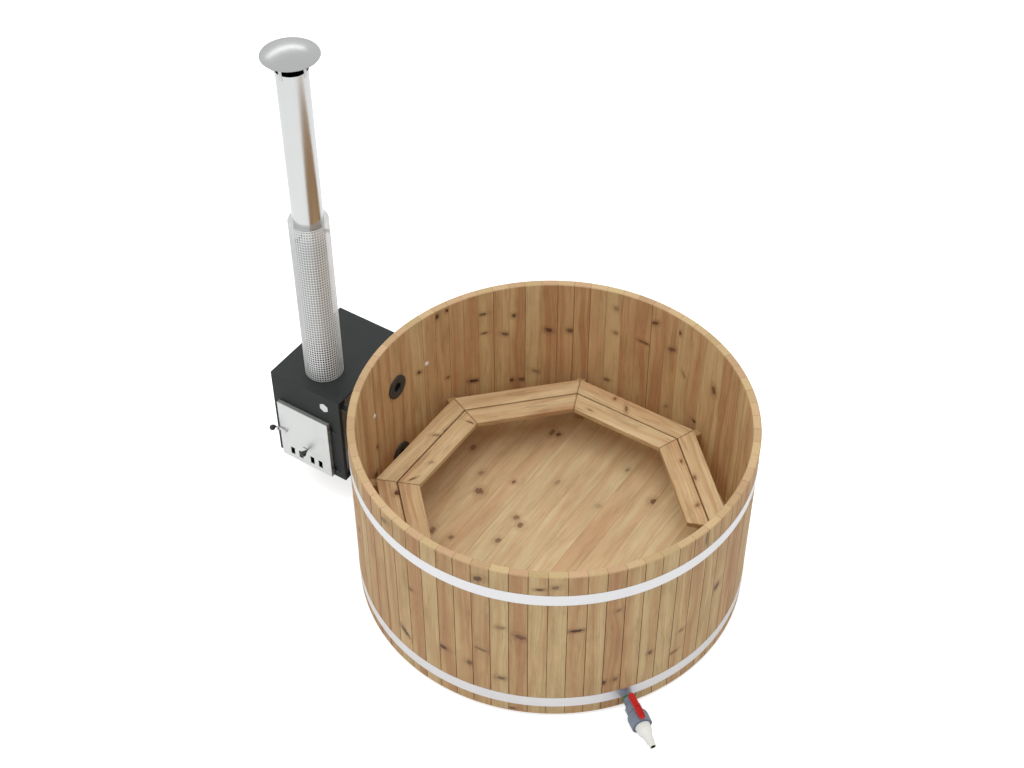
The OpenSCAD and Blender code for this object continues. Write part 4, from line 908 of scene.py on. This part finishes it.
def turned_about_z(points, angle):
    """Points turned about Z, all by one angle or each by its own."""
    x, y, z = points.T
    return np.stack([x * np.cos(angle) - y * np.sin(angle), x * np.sin(angle) + y * np.cos(angle), z], 1)


def seat_levels(slope, edge):
    """Rows along a seat plank from one mitred end to the other, close together near the ends."""
    rows = [(0.0, 0.0002, edge * 0.6), (0.0004, 0, edge * 0.25)]
    rows += [(gap, 0, 0) for gap in (0.0014, 0.0040, 0.0065)]
    ends = [(-1, *row) for row in rows] + [(1, *row) for row in rows[::-1]]
    return [(lambda x, end=end, gap=gap: end * (x * slope - SEAM - gap), side, drawn, drawn)
            for end, gap, side, drawn in ends]


def make_seat(name, node, ring, seed, listed):
    """Five planks with mitred ends: each end lies at -+x tan(22.5 degrees), x out from the centre."""
    near, far = ring
    slope = math.tan(math.radians(22.5))
    edge = 0.0022
    x, inset = edge_row(near, far, edge, 5)
    points, faces = slab(x, inset, SEAT_Z - SEAT_UNDER, seat_levels(slope, edge))
    points = points + [0, 0, SEAT_UNDER]
    sides = np.radians(np.array(SEAT_SIDES))
    mesh = mesh_of(name, *joined([(turned_about_z(points, side), faces) for side in sides]))
    co, azimuth = placed(mesh)
    plank = np.clip(np.round((azimuth - SEAT_SIDES[0]) / 45).astype(int), 0, len(sides) - 1)
    out, along, _ = turned_about_z(co, -sides[plank]).T
    middle = (near + far) / 2
    mitred = out * slope - SEAM - np.abs(along) < 0.0052
    place = np.where(mitred, 1.0, (out - middle) / ((far - near) / 2))
    tone = np.clip(np.random.default_rng(seed).normal(0.55, 0.12, len(sides)), 0.2, 0.9)
    table = knot_table(len(sides), listed, seed, (-0.2, 0.2), 0.03, 0.0)
    # Mitred ends get a darker joint line: painted shade of the mitre gap, together with weathering.
    wood_marks(mesh, out - middle, along, co[:, 2] - SEAT_UNDER, place, plank, seed, tone, table, len(sides),
               np.where(mitred, 0.36, 0.12))
    return piece(name, mesh, node, bench_wood, 25)


make_seat("inner_seat_planks", "bench_inner_planks", INNER_RING, 41, INNER_SEAT_KNOTS)
make_seat("outer_seat_planks", "bench_outer_planks", OUTER_RING, 42, OUTER_SEAT_KNOTS)


def make_bearers():
    """Edged timbers; their grain runs along X on the ground and outwards under the seat."""
    mesh = edged("floor_bearers", bearer_wood, 0.003, name="ground_bearers").data
    co = corners_of(mesh)
    row = np.round(co[:, 1] / BEARER_STEP).astype(int)
    off = co[:, 1] - row * BEARER_STEP
    wood_marks(mesh, off, co[:, 0], co[:, 2], off / TIMBER_HALF, row + 2, 51, np.full(5, 0.4))
    mesh = edged("bench_brackets", bearer_wood, 0.002, name="seat_brackets").data
    co, azimuth = placed(mesh)
    which = np.abs(azimuth[:, None] - np.array(BRACKET_SIDES)).argmin(1)
    out, off, _ = turned_about_z(co, -np.radians(np.array(BRACKET_SIDES)[which])).T
    wood_marks(mesh, co[:, 2], out, off, off / TIMBER_HALF, which, 52, np.full(6, 0.5))


make_bearers()


# ---- drain and valve ----

def add_turned(name, node, material, profile, count, shape=None, smooth=30):
    """A turned ring that lies along the valve, Z outwards from the tub's wall."""
    points, faces = turned(profile, count, shape, True)
    points = along_axis(points, (*OUT_WAY, 0), (TUB_R * OUT_WAY[0], TUB_R * OUT_WAY[1], DRAIN_Z))
    return piece(name, mesh_of(name, points, faces), node, material, smooth)


edged("floor_drain", tank_steel, 0.0008)
edged("valve_ball", fastener_steel, 0.0004, angle=50)
edged("valve_stem", red_plastic, 0.0005, angle=50)

seal_profile = rounded([(0.0, 0.0251), (0.0, 0.0265), (0.0021, 0.0265), (0.0021, 0.0300), (0.008, 0.0300),
                        (0.008, 0.0251), (0.0, 0.0251)], [0, 0, 0, 0.0010, 0.0014, 0, 0])
add_turned("drain_wall_seal", "wall_seal", green_seal, seal_profile[:-1], 64)
edged("drain_pipe", blue_grey_plastic, 0.0006, angle=50)

nut_profile = rounded([
    (0.098, 0.0303), (0.098, 0.0440), (0.108, 0.0500), (0.122, 0.0514), (0.171, 0.0514), (0.172, 0.0504),
    (0.172, 0.0492), (0.1662, 0.0488), (0.1662, 0.0392), (0.172, 0.0388), (0.172, 0.0303), (0.098, 0.0303)],
    [0, 0.002, 0.004, 0.004, 0.0008, 0.0008, 0.0004, 0.001, 0.001, 0.0008, 0, 0])[:-1]


def nut_ribs(t, height):
    """Radius factor of the nut: 24 flat-topped ribs, deeper on the shoulder than at the end.
    They are on the first half of its profile, the outside; the bore and the recess stay round."""
    outside = (np.arange(len(nut_profile)) < len(nut_profile) * 0.53)[:, None]
    wave = np.clip(np.cos(24 * t) * 2.2, -1, 1)
    zone = np.clip((height - 0.108) / 0.012, 0, 1) * np.clip((0.1705 - height) / 0.002, 0, 1)
    return np.where(outside, 1 + 0.020 * wave * zone, 1.0)


add_turned("valve_union_nut", "union_nut", blue_grey_plastic, nut_profile, 192, nut_ribs, 38)
edged("valve_body", blue_grey_plastic, 0.0012, 2, 25, 40)
edged("union_end", blue_grey_plastic, 0.0006)
tail = edged("hose_tail", white_plastic, 0.0008, 2, 25, 40).data
co = corners_of(tail)
aside = co[:, 1] * OUT_WAY[0] - co[:, 0] * OUT_WAY[1]
# The bore is marked to go dark: painted shade inside the hole.
attach(tail, "soot_and_shade", np.hypot(aside, co[:, 2] - DRAIN_Z) < TAIL_BORE + 0.0012)
edged("valve_lever", red_plastic, 0.0012, 3)

# ---- heater ----

edged("heater_casing", casing_paint, 0.0012, 3)
edged("water_tank", tank_steel, 0.0012)
edged("front_frame", heater_black, 0.0010)
edged("firebox", firebox_steel, 0.0012)
edged("fire_grate", grate_iron, 0.0020)
edged("baffle_plate", firebox_steel, 0.0010)
edged("flue_collar", firebox_steel, 0.0006)
edged("guard_seat", firebox_steel, 0.0005)
pipes = edged("water_pipes", pipe_steel, 0.0005).data
co = corners_of(pipes)
away = [np.hypot(co[:, 1], co[:, 2] - z) for z in PIPE_HEIGHTS]
# The pipes' bores are marked to go dark: painted shade inside the holes.
attach(pipes, "soot_and_shade", np.minimum(*away) < WATER_BORE)
edged("pipe_flanges", black_rubber, 0.0016, 3)
edged("heater_brackets", heater_black, 0.0008)
edged("bracket_bolts", bolt_steel, 0.0010)
edged("bracket_nuts", fastener_steel, 0.0006)
edged("latch_keeper", fastener_steel, 0.0006)
edged("hinge_leaves", hinge_steel, 0.0005)
edged("hinge_pins", hinge_steel, 0.0006)
edged("casing_screws", hinge_steel, 0.0004)
edged("badge_plate", badge_steel, 0.0006)

# ---- door ----

edged("door_panel", door_grey, 0.0010)
edged("door_skin", door_steel, 0.0006)
edged("door_board", mineral_board, 0.0015)
edged("door_knuckles", hinge_steel, 0.0005)
edged("damper_rails", hinge_steel, 0.0004)
edged("latch_stud", fastener_steel, 0.0004)
edged("latch_bar", fastener_steel, 0.0008)
edged("damper_slide", heater_black, 0.0003)


def make_gasket():
    """A rope seal: a squared circle carried round a rectangle with round corners.
    Section: (a c |c|^-0.4, b s |s|^-0.4) with c, s the cosine and sine of the turn."""
    low, high = np.array(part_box("door_gasket"))
    bend, steps, around = 0.006, 6, 16
    q = np.linspace(0, np.pi / 2, steps)
    path = []
    for turn, (sx, sz) in enumerate(((1, 1), (-1, 1), (-1, -1), (1, -1))):
        t = q + turn * np.pi / 2
        cx = (high[0] - ROPE_R if sx > 0 else low[0] + ROPE_R) - sx * bend
        cz = (high[2] - ROPE_R if sz > 0 else low[2] + ROPE_R) - sz * bend
        path.append(np.stack([cx + bend * np.cos(t), cz + bend * np.sin(t)], 1))
    path = np.concatenate(path)
    tangent = np.roll(path, -1, 0) - np.roll(path, 1, 0)
    tangent /= np.linalg.norm(tangent, axis=1)[:, None]
    t = np.linspace(0, 2 * np.pi, around, endpoint=False)
    c, s = np.cos(t), np.sin(t)
    out = ROPE_R * np.sign(c) * np.abs(c) ** 0.6
    deep = (high[1] - low[1]) / 2 * np.sign(s) * np.abs(s) ** 0.6
    points = np.stack([path[:, :1] + tangent[:, 1:] * out, (low[1] + high[1]) / 2 + 0 * path[:, :1] + deep,
                       path[:, 1:] - tangent[:, :1] * out], -1)
    mesh = mesh_of("door_rope_seal", points.reshape(-1, 3), [grid_faces(len(path), around, True)])
    run = np.concatenate([[0], np.cumsum(np.linalg.norm(np.diff(path, axis=0), axis=1))])
    turns = np.tile(t / (2 * np.pi) * 4, len(path))
    attach(mesh, "rope", np.stack([np.repeat(run / 0.006, around), turns, 0 * turns], 1))
    return piece("door_rope_seal", mesh, "door_gasket", gasket_cord, 60)


make_gasket()


def make_knob(name, node, neck, bore):
    """A ball of radius R, r = sqrt(R^2 - h^2) at height h, then a short neck and its bore."""
    low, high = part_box(node)
    centre = ((low[0] + high[0]) / 2, low[1] + KNOB_R, (low[2] + high[2]) / 2)
    h = np.linspace(-KNOB_R, KNOB_R * 0.84, 26)                 # down to just inside the neck
    ball = np.stack([h, np.sqrt(np.maximum(KNOB_R ** 2 - h ** 2, 0))], 1)
    neck_r = KNOB_R / 2
    foot = [(neck - 0.0006, neck_r), (neck, neck_r - 0.0006), (neck, bore), (0.0, bore), (0.0, 0.0)]
    points, faces = turned(np.concatenate([ball, foot]), 48)
    return piece(name, mesh_of(name, along_axis(points, (0, 1, 0), centre), faces), node, black_knob, 40)


make_knob("latch_ball", "latch_knob", 0.014, 0.0041)
make_knob("damper_ball", "damper_knob", 0.024, 0.0031)

# ---- chimney ----

def at_chimney(points):
    """Moves points drawn round the origin's Z axis to the chimney."""
    return points + [*CHIMNEY, 0.0]


def from_chimney(mesh):
    """How far each point of the mesh lies from the chimney's axis."""
    co = corners_of(mesh)
    return np.hypot(co[:, 0] - CHIMNEY[0], co[:, 1] - CHIMNEY[1])


def make_pipe(name, node, outer, inner, z0, z1, material, darkened=0.0):
    """A rolled pipe with softened ends. Its foot, up to the height darkened, is painted dark for the shade inside
    the guard, together with heat tint:
    the darkening falls from 0.75 to 0.3 between a third of that height and the whole of it. Its inside is marked
    fully dark: soot, with painted shade in the bore."""
    side = [(z, outer) for z in np.linspace(z0 + darkened / 8, z0 + darkened, 8)] if darkened else []
    profile = rounded([(z0, inner), (z0, outer)] + side + [(z1, outer), (z1, inner), (z0, inner)],
                      [0, 0.0004] + [0] * len(side) + [0.0004, 0, 0], 2)
    points, faces = turned(profile[:-1], 144, closed=True)
    mesh = mesh_of(name, at_chimney(points), faces)
    # Painted shade at the foot, together with heat tint: dark low down, fading upwards.
    high = np.clip((points[:, 2] - z0 - darkened / 3) / (darkened * 2 / 3 + 1e-6), 0, 1)
    outside = 0.75 - 0.45 * high if darkened else 0.0
    attach(mesh, "soot_and_shade", np.where(from_chimney(mesh) < (outer + inner) / 2, 1.0, outside))
    return piece(name, mesh, node, material, 30)


make_pipe("upper_flue_pipe", "upper_smoke_pipe", PIPE_R, PIPE_R - PIPE_WALL, PIPE_Z0, PIPE_Z1,
          chimney_steel)
make_pipe("lower_flue_pipe", "lower_smoke_pipe", INNER_PIPE_R, INNER_PIPE_R - INNER_PIPE_WALL,
          INNER_PIPE_Z0, INNER_PIPE_Z1, inner_pipe_steel, 0.36)


def make_guard():
    """Perforated tube: each cell of a lattice of 48 x 62 is a ring of eight quads between the cell's
    border and a hole, on both skins, joined by the hole's wall. The hole's eight corners lie at
    (+-1, 0), (0, +-1) and (+-0.8, +-0.8) times (wide, tall) from the cell's middle."""
    around, rows, wide, tall, margin = 48, 62, 0.0046, 0.0056, 0.0010
    columns = 2 * around
    z = GUARD_Z0 + margin + np.linspace(0, GUARD_Z1 - GUARD_Z0 - 2 * margin, 2 * rows + 1)
    z = np.concatenate([[GUARD_Z0], z, [GUARD_Z1]])
    t = np.arange(columns) * 2 * np.pi / columns
    lattice_t, lattice_z = [v.ravel() for v in np.meshgrid(t, z)]
    a, r = [v.ravel() for v in np.meshgrid(np.arange(around), np.arange(rows))]
    k = np.arange(8)
    dx, dz = [np.round(np.sqrt(2) * wave(k * np.pi / 4)).astype(int) for wave in (np.cos, np.sin)]
    border = (2 * r[:, None] + 2 + dz) * columns + (2 * a[:, None] + 1 + dx) % columns
    out = np.where(k % 2, 0.8, 1)
    hole_t = t[2 * a + 1][:, None] + wide * out * dx / GUARD_R
    hole_z = z[2 * r + 2][:, None] + tall * out * dz
    ring = len(lattice_t) + np.arange(around * rows)[:, None] * 8 + k
    all_t = np.concatenate([lattice_t, hole_t.ravel()])
    all_z = np.concatenate([lattice_z, hole_z.ravel()])
    cell = np.stack([ring, np.roll(ring, -1, 1), np.roll(border, -1, 1), border], -1).reshape(-1, 4)
    strip = grid_faces(2, columns)
    skin = np.concatenate([cell[:, ::-1], strip, strip + (len(z) - 2) * columns])
    n = len(all_t)
    wall = np.stack([ring, np.roll(ring, -1, 1), np.roll(ring, -1, 1) + n, ring + n], -1).reshape(-1, 4)
    c = np.arange(columns)
    low_rim = np.stack([c, c + n, (c + 1) % columns + n, (c + 1) % columns], 1)
    high_rim = (low_rim + (len(z) - 1) * columns)[:, ::-1]
    points = np.concatenate([polar(GUARD_R, all_t, all_z), polar(GUARD_R - GUARD_WALL, all_t, all_z)])
    blocks = [skin, skin[:, ::-1] + n, wall, low_rim, high_rim]
    used = np.unique(np.concatenate([b.ravel() for b in blocks]))
    renumber = np.full(len(points), -1)
    renumber[used] = np.arange(len(used))
    mesh = mesh_of("perforated_guard", at_chimney(points[used]), [renumber[b] for b in blocks])
    return piece("perforated_guard", mesh, "heat_guard", guard_steel, 40)


make_guard()
edged("guard_spacers", hinge_steel, 0.0002)
edged("cap_band", chimney_steel, 0.0003)
edged("cap_legs", guard_steel, 0.0002)
edged("cap_bolt", fastener_steel, 0.0004)


def make_cap():
    """A dome of sheet with a rolled rim: z = z0 + sqrt(R^2 - r^2), R = (rim^2 + rise^2) / (2 rise)."""
    ball = (CAP_R ** 2 + CAP_RISE ** 2) / (2 * CAP_RISE)
    base = CAP_Z + CAP_RISE - ball
    sheet, roll = 0.0012, 0.0021

    def dome(radius, r):
        return base + np.sqrt(np.maximum(radius ** 2 - r ** 2, 0))

    above, below = np.linspace(0, CAP_R - 0.0022, 30), np.linspace(CAP_R - 0.0050, 0, 24)
    turn = np.linspace(np.pi * 0.35, -np.pi * 0.95, 12)
    lip = np.stack([CAP_Z + 0.0001 + roll * np.sin(turn), CAP_R - roll + roll * np.cos(turn)], 1)
    profile = [np.stack([dome(ball, above), above], 1), lip, np.stack([dome(ball - sheet, below), below], 1)]
    points, faces = turned(np.concatenate(profile), 128)
    mesh = mesh_of("domed_cap", at_chimney(points), faces)
    away = from_chimney(mesh)
    # The underside within the rim is marked dark: painted shade under the dome, together with soot.
    below = corners_of(mesh)[:, 2] < dome(ball, away) - sheet / 2
    attach(mesh, "soot_and_shade", below & (away < CAP_R - 0.004))
    return piece("domed_cap", mesh, "rain_cap", cap_steel, 40)


make_cap()

# ---- floor, light and camera ----

def plain_floor():
    """A wide pale floor. Camera and mirror rays see it white; it keeps the object's shadow."""
    edge = 40.0
    mesh = bpy.data.meshes.new("studio_floor")
    mesh.from_pydata([(-edge, -edge, -0.0006), (edge, -edge, -0.0006), (edge, edge, -0.0006),
                      (-edge, edge, -0.0006)], [], [(0, 1, 2, 3)])
    material, tree = blank("studio_floor")
    rays = put(tree, "LightPath")
    mirrored = rays["Is Glossy Ray"].above(rays["Is Transmission Ray"])
    dressed(material, Base_Color=(0.86, 0.86, 0.86, 1), Roughness=0.9, Specular_IOR_Level=0.0,
            Emission_Color=(1, 1, 1, 1),
            Emission_Strength=rays["Is Camera Ray"] * FLOOR_LIFT[0] + mirrored * FLOOR_LIFT[1])
    mesh.materials.append(material)
    in_scene("studio_floor", mesh)


FLOOR_LIFT = (0.62, 0.16)        # added where the camera, and where metal, sees the floor
WORLD_LIGHT = 0.66
plain_floor()

world = bpy.data.worlds.new("studio")
bpy.context.scene.world = world
world.use_nodes = True
tree = world.node_tree
tree.nodes.clear()
rays = put(tree, "LightPath")
seen = rays["Is Camera Ray"].above(rays["Is Glossy Ray"]).above(rays["Is Transmission Ray"])
sky = put(tree, "Background", None, Color=(1, 1, 1, 1), Strength=seen * (1.0 - WORLD_LIGHT) + WORLD_LIGHT)
put(tree, "OutputWorld", None, Surface=sky["Background"])


def soft_lamp(name, place, target, size, power, mirrored):
    """A flat lamp of size (across, high) that looks at target; metal shows it only where mirrored."""
    data = bpy.data.lights.new(name, "AREA")
    data.shape, data.size, data.size_y, data.energy = "RECTANGLE", size[0], size[1], power
    lamp = in_scene(name, data)
    lamp.location = place
    lamp.rotation_euler = (Vector(target) - Vector(place)).to_track_quat("-Z", "Y").to_euler()
    lamp.visible_glossy = mirrored


soft_lamp("top_lamp", (-0.4, -1.3, 7.6), (0, 0, 0.5), (7.0, 7.0), 250, False)
soft_lamp("back_lamp", (-6.6, 4.3, 8.2), (-1.0, 0, 1.5), (9.0, 2.0), 110, True)

# The camera: a 59.4 mm lens, looking down at 44.6 degrees from the front right, with a slight roll
CAMERA_AT = (2.967, -4.8798, 6.9095)
CAMERA_TURN = (math.radians(45.387), math.radians(33.3285), math.radians(-0.128))
camera_data = bpy.data.cameras.new("camera")
camera_data.lens, camera_data.sensor_width = 59.44, 36.0
camera_data.clip_end = 200.0
camera = in_scene("camera", camera_data)
camera.matrix_world = (Matrix.Translation(CAMERA_AT) @ Matrix.Rotation(CAMERA_TURN[1], 4, "Z")
                       @ Matrix.Rotation(CAMERA_TURN[0], 4, "X") @ Matrix.Rotation(CAMERA_TURN[2], 4, "Z"))
bpy.context.scene.camera = camera
bpy.context.scene.view_settings.view_transform = "Standard"
